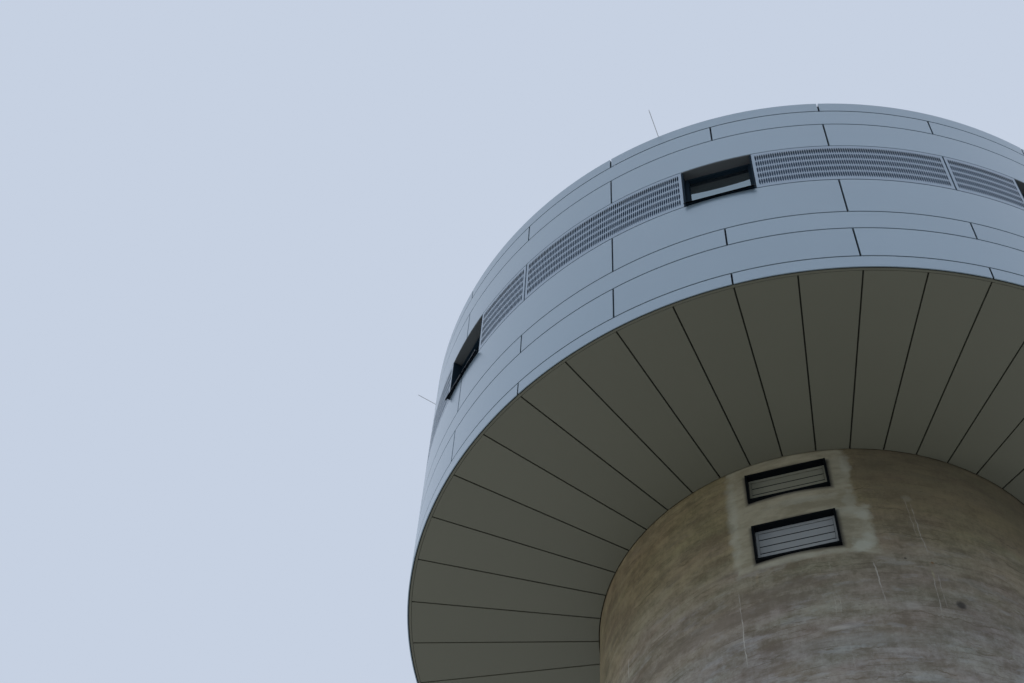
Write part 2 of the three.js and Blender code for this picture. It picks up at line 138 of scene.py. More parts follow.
class Draft:
    """Corners and faces of one mesh while it is made."""

    def __init__(self) -> None:
        """Starts with nothing."""
        self.bm = bmesh.new()

    def add(self, corners: Iterable[Vector], faces: Iterable[Sequence[int]]) -> Draft:
        """Adds corners and the faces between them, and returns the draft."""
        made = [self.bm.verts.new(corner) for corner in corners]
        for face in faces:
            self.bm.faces.new([made[i] for i in face])
        return self

    def sweep(self, outline: Outline, angles: Sequence[float] | None = None) -> Draft:
        """Sweeps an outline round the tower's axis.

        Args:
            outline: [radius, height] points, counter-clockwise.
            angles: the angles of its copies, with closed ends, or nothing for a whole ring.

        Returns:
            The draft.
        """
        ring = angles is None
        stops = [FULL_TURN * i / RING_SIDES for i in range(RING_SIDES)] if ring else list(angles)
        size, count = len(outline), len(stops)
        corners = [polar(radius, angle, height) for angle in stops for radius, height in outline]
        faces: list[Sequence[int]] = []
        for i in range(count if ring else count - 1):
            here, there = i * size, (i + 1) % count * size
            for j in range(size):
                k = (j + 1) % size
                faces.append((here + j, there + j, there + k, here + k))
        if not ring:
            faces += [range(size), range(count * size)[: -size - 1 : -1]]
        return self.add(corners, faces)

    def block(self, x: Span, y: Span, z: Span) -> Draft:
        """Adds a box given by its limits along each axis."""
        return self.add([Vector((a, b, c)) for c in z for b in y for a in x], BOX_FACES)

    def between(self, first: Sequence[Vector], second: Sequence[Vector]) -> Draft:
        """Adds the solid between two like outlines, counter-clockwise seen from the second one's side."""
        size = len(first)
        faces: list[Sequence[int]] = [range(size)[::-1], range(size, 2 * size)]
        for i in range(size):
            k = (i + 1) % size
            faces.append((i, k, size + k, size + i))
        return self.add([*first, *second], faces)

    def prism(self, outline: Outline, low: float, high: float) -> Draft:
        """Adds an upright prism on an outline of [x, y] points, counter-clockwise seen from above."""
        return self.between(*([Vector((x, y, z)) for x, y in outline] for z in (low, high)))

    def profile(self, outline: Outline, half: float) -> Draft:
        """Adds a bar along X whose section is an outline of [y, z] points, counter-clockwise from +X."""
        return self.between(*([Vector((x, y, z)) for y, z in outline] for x in (-half, half)))

    def uprights(self, half: float, width: float, y: Span, z: Span) -> Draft:
        """Adds a bar at the left and one at the right, whose outer faces stand half off the middle."""
        for side in (-1, 1):
            left, right = sorted((side * half, side * (half - width)))
            self.block((left, right), y, z)
        return self

    def surround(self, half: float, width: float, y: Span, z: Span) -> Draft:
        """Adds a rectangular frame: two whole uprights, and two rails between them."""
        self.uprights(half, width, y, z)
        for base in (z[0], z[1] - width):
            self.block((-half + width, half - width), y, (base, base + width))
        return self

    def tube(self, path: Sequence[Vector], radii: Sequence[float], sides: int = 12) -> Draft:
        """Adds a round bar along a path, with a radius at each point."""
        direction = (path[-1] - path[0]).normalized()
        across = direction.orthogonal().normalized()
        third = direction.cross(across)
        corners = []
        for point, radius in zip(path, radii):
            for i in range(sides):
                a = 2 * math.pi * i / sides
                corners.append(point + radius * (across * math.cos(a) + third * math.sin(a)))
        last = (len(path) - 1) * sides
        faces: list[Sequence[int]] = []
        for here in range(0, last, sides):
            for j in range(sides):
                k = (j + 1) % sides
                faces.append((here + j, here + k, here + sides + k, here + sides + j))
        faces += [range(sides)[::-1], range(last, last + sides)]
        return self.add(corners, faces)

    def bevel(self, width: float, segments: int = 2) -> Draft:
        """Rounds every outer edge that is sharper than BEVEL_ABOVE."""
        self.bm.normal_update()
        limit = math.radians(BEVEL_ABOVE)
        sharp = [e for e in self.bm.edges if e.is_manifold and e.calc_face_angle_signed() > limit]
        shape = {"profile": 0.5, "affect": "EDGES", "clamp_overlap": True}
        bmesh.ops.bevel(self.bm, geom=sharp, offset=width, segments=segments, **shape)
        return self

    def turned(self, angle: float) -> Draft:
        """Turns all of it round the tower's axis."""
        turn = Matrix.Rotation(math.radians(angle), 4, "Z")
        bmesh.ops.transform(self.bm, matrix=turn, verts=self.bm.verts)
        return self

    def mesh(self, name: str) -> Mesh:
        """The finished mesh."""
        bmesh.ops.remove_doubles(self.bm, verts=self.bm.verts, dist=1e-6)
        return finished(name, self.bm)

    def place(self, name: str, finish: Material, slot: Slot, *nodes: str) -> None:
        """Finishes the mesh and puts it in the scene as a piece."""
        place_piece(name, self.mesh(name), finish, nodes)


def shade(mesh: Mesh) -> Mesh:
    """Shades a mesh smooth, apart from its edges, and returns it."""
    mesh.shade_smooth()
    mesh.set_sharp_from_angle(angle=math.radians(SMOOTH_BELOW))
    return mesh


def finished(name: str, bm: bmesh.types.BMesh) -> Mesh:
    """A shaded mesh made of what is being edited, which is freed."""
    made = bpy.data.meshes.new(name)
    bm.to_mesh(made)
    bm.free()
    return shade(made)


def joined(name: str, meshes: Iterable[Mesh]) -> Mesh:
    """One mesh that holds several."""
    bm = bmesh.new()
    for mesh in meshes:
        bm.from_mesh(mesh)
    return finished(name, bm)


def carved(name: str, mesh: Mesh, cutter: Mesh) -> Mesh:
    """A closed mesh with another closed mesh cut out of it."""
    body, tool = linked("carved_body", mesh), linked("carving_tool", cutter)
    cut = body.modifiers.new("cut", "BOOLEAN")
    cut.operation, cut.solver, cut.object = "DIFFERENCE", "EXACT", tool
    result = evaluated_mesh(name, body)
    bpy.data.objects.remove(tool)
    return shade(result)


def evaluated_mesh(name: str, thing: bpy.types.Object) -> Mesh:
    """An object's mesh with its modifiers applied. The object is removed."""
    depsgraph = bpy.context.evaluated_depsgraph_get()
    depsgraph.update()
    made = bpy.data.meshes.new_from_object(thing.evaluated_get(depsgraph), depsgraph=depsgraph)
    bpy.data.objects.remove(thing)
    made.name = name
    return made


@dataclass(frozen=True)
class Signal:
    """A socket's value, with the arithmetic that adds Math nodes."""

    graph: Graph
    socket: bpy.types.NodeSocket

    def math(self, operation: str, *others: Signal | float) -> Signal:
        """This value and others through one Math node."""
        return self.graph.math(operation, self, *others)

    def __add__(self, other: Signal | float) -> Signal:
        """The sum."""
        return self.math("ADD", other)

    def __sub__(self, other: Signal | float) -> Signal:
        """The difference."""
        return self.math("SUBTRACT", other)

    def __rsub__(self, other: float) -> Signal:
        """A number less this value."""
        return self.graph.math("SUBTRACT", other, self)

    def __mul__(self, other: Signal | float) -> Signal:
        """The product."""
        return self.math("MULTIPLY", other)

    def __truediv__(self, other: Signal | float) -> Signal:
        """The quotient."""
        return self.math("DIVIDE", other)

    def __rtruediv__(self, other: float) -> Signal:
        """A number over this value."""
        return self.graph.math("DIVIDE", other, self)

    def __neg__(self) -> Signal:
        """The value with its sign changed."""
        return self * -1.0

    __radd__ = __add__
    __rmul__ = __mul__

    def swing(self, amount: float) -> Signal:
        """How far this value is from 0.5, times an amount."""
        return (self - 0.5) * amount

    def rise(self, start: float, end: float) -> Signal:
        """0 below start and 1 above end, smooth in between, or turned round where end is below start."""
        low, high, foot, head = (start, end, 0.0, 1.0) if start < end else (end, start, 1.0, 0.0)
        sockets = {"Value": self, "From Min": low, "From Max": high, "To Min": foot, "To Max": head}
        return self.graph.add("ShaderNodeMapRange", {"interpolation_type": "SMOOTHSTEP"}, sockets)["Result"]


class Made:
    """A node that was added, whose outputs are read by name or number."""

    def __init__(self, graph: Graph, node: bpy.types.Node) -> None:
        """Keeps the node and the graph that it is in."""
        self.graph, self.node = graph, node

    def __getitem__(self, output: str | int) -> Signal:
        """One of the node's outputs."""
        return Signal(self.graph, self.node.outputs[output])


class Graph:
    """A node tree and the few ways of adding to it."""

    def __init__(self, tree: bpy.types.NodeTree) -> None:
        """Keeps the tree."""
        self.tree = tree

    def add(self, kind: str, settings: dict[str, Any], sockets: dict[str | int, Any]) -> Made:
        """Adds a node.

        Args:
            kind: the node's type.
            settings: its own settings, which are set first.
            sockets: a value or a Signal for each input, by name or number.

        Returns:
            The node, whose outputs can be read.
        """
        node = self.tree.nodes.new(kind)
        for name, value in settings.items():
            setattr(node, name, value)
        for name, value in sockets.items():
            if isinstance(value, Signal):
                self.tree.links.new(value.socket, node.inputs[name])
            else:
                node.inputs[name].default_value = value
        return Made(self, node)

    def plain(self, kind: str, **sockets: Any) -> Made:
        """Adds a node without settings. Underscores in a socket's name stand for spaces."""
        return self.add(kind, {}, {name.replace("_", " "): value for name, value in sockets.items()})

    def math(self, operation: str, *values: Signal | float) -> Signal:
        """The result of a Math node on values and numbers."""
        return self.add("ShaderNodeMath", {"operation": operation}, dict(enumerate(values)))["Value"]

    def mix(self, factor: Signal | float, first: Any, second: Any, blend: str = "MIX") -> Signal:
        """Two colours mixed."""
        first, second = ((*c, 1.0) if isinstance(c, tuple) else c for c in (first, second))
        settings = {"data_type": "RGBA", "blend_type": blend, "clamp_factor": True}
        return self.add("ShaderNodeMix", settings, {0: factor, 6: first, 7: second})[2]

    def place(self) -> Signal:
        """Where a point of the piece is, in the tower's own frame."""
        return self.plain("ShaderNodeTexCoord")["Object"]

    def stretched(self, place: Signal, factors: Colour) -> Signal:
        """A place with each axis multiplied by its own factor."""
        return self.add("ShaderNodeVectorMath", {"operation": "MULTIPLY"}, {0: place, 1: factors})["Vector"]

    def point(self, x: Signal | float = 0.0, y: Signal | float = 0.0, z: Signal | float = 0.0) -> Signal:
        """A place made of three values."""
        return self.plain("ShaderNodeCombineXYZ", X=x, Y=y, Z=z)["Vector"]

    def axes(self, place: Signal) -> tuple[Signal, Signal, Signal]:
        """A place's X, Y and Z."""
        parts = self.plain("ShaderNodeSeparateXYZ", Vector=place)
        return parts["X"], parts["Y"], parts["Z"]

    def noise(
        self, place: Signal, scale: float, detail: float = 4.0, roughness: float = 0.55, bent: float = 0.0
    ) -> Signal:
        """Cloudy noise between 0 and 1, about 0.5 on average, with its lines bent out of true if asked."""
        settings = {"Scale": scale, "Detail": detail, "Roughness": roughness, "Distortion": bent}
        return self.plain("ShaderNodeTexNoise", Vector=place, **settings)["Fac"]

    def streaks(
        self, place: Signal, factors: Colour, detail: float = 4.0, roughness: float = 0.55, bent: float = 0.0
    ) -> Signal:
        """Cloudy noise with each axis at its own scale."""
        return self.noise(self.stretched(place, factors), 1.0, detail, roughness, bent)

    def bump(self, height: Signal, distance: float) -> Signal:
        """A normal bent by a height in metres times distance."""
        return self.plain("ShaderNodeBump", Height=height, Distance=distance, Strength=1.0)["Normal"]

    def surface(self, **sockets: Any) -> None:
        """Ends a material in one Principled shader."""
        shader = self.plain("ShaderNodeBsdfPrincipled", **sockets)["BSDF"]
        self.plain("ShaderNodeOutputMaterial", Surface=shader)


def new_material(name: str) -> tuple[Material, Graph, Signal]:
    """An empty material, its graph and the place that its patterns are laid out in."""
    material = bpy.data.materials.new(name)
    material.use_nodes = True
    material.node_tree.nodes.clear()
    graph = Graph(material.node_tree)
    return material, graph, graph.place()


@dataclass(frozen=True)
class CoatedSheet:
    """Satin metallic coating on sheet metal, slightly uneven and dusty."""

    name: str
    colour: Colour
    roughness: float = 0.36
    metallic: float = 0.35
    coat: float = 0.0
    tone_spread: float = 0.05  # brightness between the lightest and the darkest panel
    cloudiness: float = 0.05  # brightness between the lightest and the darkest cloud

    def material(self) -> Material:
        """The material."""
        material, graph, place = new_material(self.name)
        tone = graph.add("ShaderNodeAttribute", {"attribute_name": "tone"}, {})["Fac"]
        clouds = graph.noise(place, 0.45, 4.0)
        dust = graph.noise(place, 11.0, 5.0, 0.65)
        level = 1.0 + tone.swing(self.tone_spread) + clouds.swing(2.0) * self.cloudiness + dust.swing(0.03)
        grey = graph.plain("ShaderNodeCombineColor", Red=level, Green=level, Blue=level)["Color"]
        waves = graph.streaks(place, (0.9, 0.9, 1.3), 1.0)
        grain = graph.noise(place, 260.0, 2.0)
        graph.surface(
            Base_Color=graph.mix(1.0, self.colour, grey, "MULTIPLY"),
            Metallic=self.metallic,
            Roughness=self.roughness + dust.swing(0.10) + clouds.swing(0.08),
            Coat_Weight=self.coat,
            Coat_Roughness=0.20,
            Normal=graph.bump(waves + grain * 0.004, 0.003),
        )
        return material


@dataclass(frozen=True)
class Wall:
    """The values that every mark on a round concrete wall is drawn with, with its radius."""

    graph: Graph
    radius: float
    place: Signal
    clouds: Signal
    blotches: Signal
    arc: Signal  # metres round the wall from the front
    z: Signal

    def along(self, angle: float) -> float:
        """The distance round the wall to an angle."""
        return math.radians(angle) * self.radius


@dataclass(frozen=True)
class Mark:
    """Something on the concrete, with its strength and its colour. Angles are counted from the front."""

    relief: ClassVar[float] = 0.0

    def mask(self, wall: Wall) -> Signal:
        """1 where it lies and 0 beside it."""
        raise NotImplementedError

    def laid(self, wall: Wall, colour: Signal, height: Signal) -> tuple[Signal, Signal]:
        """The wall's colour and relief with this mark on them."""
        mask = self.mask(wall)
        if self.relief:
            height = height + mask * self.relief
        return wall.graph.mix(mask * self.strength, colour, self.colour), height


@dataclass(frozen=True)
class Run(Mark):
    """A thin pale run or filled crack down the concrete."""

    angle: float
    top: float
    bottom: float
    width: float = 0.012
    strength: float = 0.4
    lean: float = 0.0  # degrees that its foot stands to the right of its head
    colour: Colour = (0.40, 0.39, 0.35)
    relief: ClassVar[float] = 0.20

    def mask(self, wall: Wall) -> Signal:
        """1 on the run and 0 off it, broken and wandering a little."""
        wander = wall.graph.streaks(wall.place, (0.0, 0.0, 2.4)).swing(0.14)
        fall = (self.top - wall.z) * (wall.along(self.lean) / (self.top - self.bottom))
        line = (wall.arc - wall.along(self.angle) + wander - fall).math("ABSOLUTE")
        broken = wall.graph.streaks(wall.place, (3.0, 3.0, 3.2)).rise(0.34, 0.56)
        ends = wall.z.rise(self.bottom, self.bottom + 0.4) * wall.z.rise(self.top, self.top - 0.15)
        return line.rise(self.width, self.width * 0.3) * ends * broken


@dataclass(frozen=True)
class Spot(Mark):
    """A dark or rusty spot on the concrete."""

    angle: float
    height: float
    radius: float
    colour: Colour = (0.030, 0.024, 0.017)
    strength: float = 0.85

    def mask(self, wall: Wall) -> Signal:
        """1 on the spot and 0 off it, with a ragged rim."""
        across = wall.arc - wall.along(self.angle)
        upright = wall.z - self.height
        ragged = wall.blotches.swing(0.8) * self.radius
        distance = (across * across + upright * upright).math("SQRT") + ragged
        return distance.rise(self.radius, self.radius * 0.4)


@dataclass(frozen=True)
class Stain(Mark):
    """A damp stain under the ceiling, from one angle to another, that fades out downwards."""

    left: float
    right: float
    low: float
    high: float
    strength: float = 0.5
    colour: Colour = (0.062, 0.052, 0.032)

    def mask(self, wall: Wall) -> Signal:
        """1 in the stain and 0 out of it."""
        left, right = wall.along(self.left), wall.along(self.right)
        sideways = (wall.arc + wall.clouds.swing(3.0)).rise(left - 0.5, left + 0.6)
        sideways = sideways * wall.arc.rise(right + 1.5, right - 1.5)
        upward = (wall.z + wall.blotches.swing(1.6) + wall.clouds.swing(1.6)).rise(self.low, self.high)
        return sideways * upward


@dataclass(frozen=True)
class Patch(Mark):
    """An area of smooth mortar made good round the shaft's windows."""

    left: float
    right: float
    low: float
    high: float
    rim: float = 0.0  # how much of the pale mortar lies at its edges

    def laid(self, wall: Wall, colour: Signal, height: Signal) -> tuple[Signal, Signal]:
        """The wall's colour and relief with this patch on them."""
        graph = wall.graph
        ragged = graph.noise(wall.place, 3.1, 5.0, 0.6, 0.6).swing(0.42)
        left, right = wall.along(self.left), wall.along(self.right)
        inside = (wall.arc - left + ragged).math("MINIMUM", right - wall.arc + ragged)
        level = (wall.z - self.low + ragged).math("MINIMUM", self.high - wall.z + ragged)
        inside = inside.math("MINIMUM", level)
        mask = inside.rise(-0.05, 0.08)
        pale = inside.rise(0.34, 0.04) * self.rim
        smears = graph.streaks(wall.place, (1.5, 1.5, 3.4), 9.0, 0.68)
        mortar = graph.mix(smears.rise(0.36, 0.66), (0.176, 0.160, 0.107), (0.282, 0.264, 0.190))
        mortar = graph.mix(pale * smears.rise(0.40, 0.60), mortar, (0.262, 0.262, 0.205))
        return graph.mix(mask * 0.80, colour, mortar), height * (1.0 - mask * 0.6) + mask * 0.3


@dataclass(frozen=True)
class Dab(Mark):
    """A soft smear of pale mortar or dark damp, by its middle and its half sizes."""

    angle: float
    height: float
    half_width: float
    half_height: float
    strength: float = 0.6
    colour: Colour = (0.300, 0.306, 0.250)

    def mask(self, wall: Wall) -> Signal:
        """1 in the middle of the smear and 0 outside it."""
        across = (wall.arc - wall.along(self.angle)) / self.half_width
        upright = (wall.z - self.height) / self.half_height
        distance = (across * across + upright * upright).math("SQRT") + wall.blotches.swing(2.6)
        return distance.rise(1.25, 0.45)


@dataclass(frozen=True)
class FrameShade(Mark):
    """A soft dark border of painted shade round a frame at the front, where the frame stands proud of the
    wall, by the frame's half width, foot and head.
    """

    half_width: float
    low: float
    high: float
    reach: float = 0.085
    strength: float = 0.80
    colour: Colour = (0.020, 0.019, 0.016)

    def mask(self, wall: Wall) -> Signal:
        """1 at the frame and 0 beyond the painted shade's reach."""
        outside = (wall.arc.math("ABSOLUTE") - self.half_width).math("MAXIMUM", self.low - wall.z)
        return outside.math("MAXIMUM", wall.z - self.high).rise(self.reach, 0.0)


@dataclass(frozen=True)
class WeatheredConcrete:
    """Smooth concrete in level lifts, with clouds, pours, form boards and the marks laid over them.

    The colours are those of its dry and its damp parts low down, and of the dry and the damp parts close
    to the ceiling over it, where less rain reaches it.
    """

    name: str
    radius: float
    marks: tuple[Mark, ...] = ()
    dry: Colour = (0.272, 0.261, 0.236)
    damp: Colour = (0.118, 0.099, 0.072)
    high_dry: Colour = (0.192, 0.156, 0.084)
    high_damp: Colour = (0.088, 0.070, 0.035)
    low_level: float = 18.6
    high_level: float = 23.0
    pour: float = 0.62
    board: float = 0.118

    def material(self) -> Material:
        """The material."""
        material, graph, place = new_material(self.name)
        x, y, z = graph.axes(place)
        lifts = graph.streaks(place, (0.40, 0.40, 1.5), 8.0, 0.62)
        clouds = graph.noise(place, 0.65, 8.0, 0.62)
        blotches = graph.streaks(place, (2.6, 2.6, 4.6), 10.0, 0.72)
        grit = graph.noise(place, 17.0, 6.0, 0.78)
        ticks = graph.streaks(place, (10.0, 10.0, 1.5), 5.0, 0.65)
        pours, crests = self.bands(graph, place, self.pour, 0.60, 0.50, 0.034)
        boards, joints = self.bands(graph, place, self.board, 0.045, 1.4, 0.016)
        level = 0.5 + lifts.swing(1.2) + clouds.swing(0.7) + blotches.swing(1.8) + grit.swing(0.85)
        level = level + pours.swing(0.5) + boards.swing(0.9) + ticks.swing(0.40)
        wet = (level - joints * 0.34 - crests * 0.42).rise(-0.02, 1.02)
        under_ceiling = (z + clouds.swing(2.0)).rise(self.low_level, self.high_level)
        in_rain = 1.0 - under_ceiling
        low_colour = graph.mix(wet, self.damp, self.dry)
        high_colour = graph.mix(wet, self.high_damp, self.high_dry)
        colour = graph.mix(under_ceiling, low_colour, high_colour)
        warm = graph.streaks(place, (0.9, 0.9, 2.0), 8.0, 0.66).rise(0.48, 0.60)
        colour = graph.mix(warm * in_rain * 0.22, colour, (0.190, 0.150, 0.112))
        scour = graph.streaks(place, (1.3, 1.3, 4.6), 9.0, 0.68).rise(0.54, 0.62)
        colour = graph.mix(scour * in_rain * 0.30, colour, (0.300, 0.318, 0.325))
        smears = graph.streaks(place, (1.1, 1.1, 5.2), 9.0, 0.68, 0.5).rise(0.56, 0.64)
        colour = graph.mix(smears * 0.26, colour, self.damp)
        spread = graph.stretched(place, (0.8, 0.8, 2.4))
        hues = graph.plain("ShaderNodeTexNoise", Vector=spread, Scale=1.0, Detail=6.0)["Color"]
        colour = graph.mix(0.12, colour, hues, "SOFT_LIGHT")
        cracks = (graph.streaks(place, (3.4, 3.4, 5.0), 4.0, 0.62) - 0.5).math("ABSOLUTE")
        cracks = cracks.rise(0.012, 0.003) * graph.noise(place, 1.1, 3.0).rise(0.50, 0.58)
        colour = graph.mix(cracks * 0.30, colour, (0.060, 0.052, 0.040))
        height = lifts.swing(0.4) + grit.swing(0.45) + blotches.swing(0.5) + boards.swing(0.4) - joints * 0.35
        arc = graph.math("ARCTAN2", x, -y) * self.radius
        wall = Wall(graph, self.radius, place, clouds, blotches, arc, z)
        for mark in self.marks:
            colour, height = mark.laid(wall, colour, height)
        rough = 0.84 + blotches.swing(0.12)
        graph.surface(Base_Color=colour, Roughness=rough, Normal=graph.bump(height, 0.006))
        return material

    def bands(
        self, graph: Graph, place: Signal, pitch: float, wave: float, grain: float, line: float
    ) -> tuple[Signal, Signal]:
        """Level bands with wavy edges, such as pours or form boards.

        Args:
            graph: the material's graph.
            place: the object coordinates.
            pitch: the height of a band in metres.
            wave: how far its edges wander in metres.
            grain: how fast its tone changes along it, per metre.
            line: the width in metres of the dark line along its foot.

        Returns:
            The tone, about 0.5 on average, and the line's mask.
        """
        x, y, z = graph.axes(place)
        drift = graph.streaks(place, (grain, grain, 0.0), 6.0, 0.62).swing(2.0 * wave)
        count = (z + drift) / pitch
        number = count.math("FLOOR")
        tone = graph.noise(graph.point(x * grain, y * grain, number * 3.71), 1.0, 6.0, 0.66)
        broken = graph.streaks(place, (1.6, 1.6, 3.0), 6.0, 0.66).rise(0.46, 0.60)
        return tone, (count - number).rise(line / pitch, line * 0.4 / pitch) * broken


@dataclass(frozen=True)
class Paint:
    """Satin paint on metal, with a little dust on it."""

    name: str
    colour: Colour
    roughness: float = 0.42
    metallic: float = 0.0
    dust: Colour = (0.10, 0.10, 0.10)
    dusty: float = 0.12
    gloss: float = 0.5

    def material(self) -> Material:
        """The material."""
        material, graph, place = new_material(self.name)
        clouds = graph.noise(place, 3.0, 5.0, 0.6)
        specks = graph.noise(place, 60.0, 3.0, 0.6)
        dirt = (clouds.rise(0.4, 0.75) * 0.7 + specks.rise(0.55, 0.75) * 0.3) * self.dusty
        graph.surface(
            Base_Color=graph.mix(dirt, self.colour, self.dust),
            Metallic=self.metallic,
            Specular_IOR_Level=self.gloss,
            Roughness=self.roughness + clouds.swing(0.15) + dirt * 0.3,
            Normal=graph.bump(specks, 0.0004),
        )
        return material


@dataclass(frozen=True)
class WindowGlass:
    """Dark double glazing with a bluish coating that mirrors the sky."""

    name: str
    colour: Colour = (0.010, 0.011, 0.012)
    tint: Colour = (0.30, 0.80, 1.0)
    index: float = 2.4
    alpha: float = 0.90

    def material(self) -> Material:
        """The material."""
        material, graph, place = new_material(self.name)
        film = graph.noise(place, 1.6, 4.0)
        ripple = graph.noise(graph.stretched(place, (1.0, 1.0, 1.6)), 0.8, 1.0)
        graph.surface(
            Base_Color=graph.mix(film.rise(0.4, 0.8) * 0.3, self.colour, (0.035, 0.037, 0.036)),
            Roughness=0.03 + film.rise(0.5, 0.9) * 0.05,
            Specular_Tint=(*self.tint, 1.0),
            IOR=self.index,
            Alpha=self.alpha,
            Coat_Weight=1.0,
            Coat_Roughness=0.02,
            Coat_IOR=self.index,
            Normal=graph.bump(ripple, 0.002),
        )
        material.blend_method = "HASHED"
        return material


@dataclass(frozen=True)
class RoofFelt:
    """Grey mineral felt in strips, seen only from above."""

    name: str
    strip: float = 1.0

    def material(self) -> Material:
        """The material."""
        material, graph, place = new_material(self.name)
        x, _, _ = graph.axes(place)
        grit = graph.noise(place, 90.0, 3.0, 0.7)
        clouds = graph.noise(place, 0.9, 6.0, 0.6)
        puddles = graph.noise(place, 0.35, 3.0).rise(0.55, 0.66)
        seam = ((x / self.strip).math("FRACT") - 0.5).math("ABSOLUTE").rise(0.475, 0.495)
        colour = graph.mix(clouds.rise(0.3, 0.7), (0.19, 0.19, 0.182), (0.25, 0.25, 0.24))
        colour = graph.mix(puddles * 0.25, colour, (0.13, 0.12, 0.10))
        colour = graph.mix(seam * 0.6, colour, (0.06, 0.06, 0.06))
        graph.surface(Base_Color=colour, Roughness=0.88, Normal=graph.bump(grit * 0.3 + seam, 0.004))
        return material


@lru_cache(maxsize=1)
def round_array_tree() -> bpy.types.NodeTree:
    """The tree that repeats one unit round the tower's axis, in rows if asked.

    Returns:
        A tree with the inputs Unit, Columns, Rows, First Angle, Step Angle, Row Pitch, Seed and Finish.
        Each copy keeps a random number from 0 to 1 in the attribute tone.
    """
    tree = bpy.data.node_groups.new("round_array", "GeometryNodeTree")
    inputs = {
        "Unit": "Geometry",
        "Columns": "Int",
        "Rows": "Int",
        "First Angle": "Float",
        "Step Angle": "Float",
        "Row Pitch": "Float",
        "Seed": "Int",
        "Finish": "Material",
    }
    for name, kind in inputs.items():
        tree.interface.new_socket(name=name, in_out="INPUT", socket_type="NodeSocket" + kind)
    tree.interface.new_socket(name="Geometry", in_out="OUTPUT", socket_type="NodeSocketGeometry")
    graph = Graph(tree)
    given = graph.plain("NodeGroupInput")
    index = graph.plain("GeometryNodeInputIndex")["Index"]
    row = (index / given["Columns"] + 0.0001).math("FLOOR")
    column = index - row * given["Columns"]
    turn = given["First Angle"] + column * given["Step Angle"]
    lift = graph.point(z=row * given["Row Pitch"])
    rotation = graph.add("FunctionNodeEulerToRotation", {}, {0: graph.point(z=turn)})[0]
    count = given["Columns"] * given["Rows"]
    points = graph.plain("GeometryNodePoints", Count=count, Position=lift)[0]
    spots = {"Points": points, "Instance": given["Unit"], "Rotation": rotation}
    copies = graph.plain("GeometryNodeInstanceOnPoints", **spots)["Instances"]
    random = graph.add("FunctionNodeRandomValue", {"data_type": "FLOAT"}, {"Seed": given["Seed"]})[1]
    kept = {"data_type": "FLOAT", "domain": "INSTANCE"}
    tone = {"Geometry": copies, "Name": "tone", "Value": random}
    named = graph.add("GeometryNodeStoreNamedAttribute", kept, tone)["Geometry"]
    real = graph.plain("GeometryNodeRealizeInstances", Geometry=named)["Geometry"]
    done = graph.plain("GeometryNodeSetMaterial", Geometry=real, Material=given["Finish"])["Geometry"]
    graph.plain("NodeGroupOutput", Geometry=done)
    return tree


@dataclass(frozen=True)
class RoundArray:
    """Copies of one unit round the tower's axis."""

    columns: int
    first: float
    step: float
    rows: int = 1
    row_pitch: float = 0.0
    seed: int = 1

    def spread(self, unit: Mesh, name: str, finish: Material) -> Mesh:
        """All the copies as one plain mesh."""
        tree = round_array_tree()
        maker = linked(name + "_maker", unit)
        modifier = maker.modifiers.new("round_array", "NODES")
        modifier.node_group = tree
        values = {
            "Columns": self.columns,
            "Rows": self.rows,
            "First Angle": math.radians(self.first),
            "Step Angle": math.radians(self.step),
            "Row Pitch": self.row_pitch,
            "Seed": self.seed,
            "Finish": finish,
        }
        for item in tree.interface.items_tree:
            if item.in_out == "INPUT" and item.name in values:
                modifier[item.identifier] = values[item.name]
        return evaluated_mesh(name, maker)


@dataclass(frozen=True)
class Measures:
    """The tower's main sizes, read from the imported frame."""

    drum_radius: float
    shaft_radius: float
    soffit: float
    top: float

    @classmethod
    def from_frame(cls) -> Measures:
        """Reads them from the CAD nodes."""
        _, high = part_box("coping")
        soffit, _ = heights("soffit_panels")
        _, shaft_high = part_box("shaft_wall_back")
        return cls(high.x, shaft_high.y, soffit, high.z)


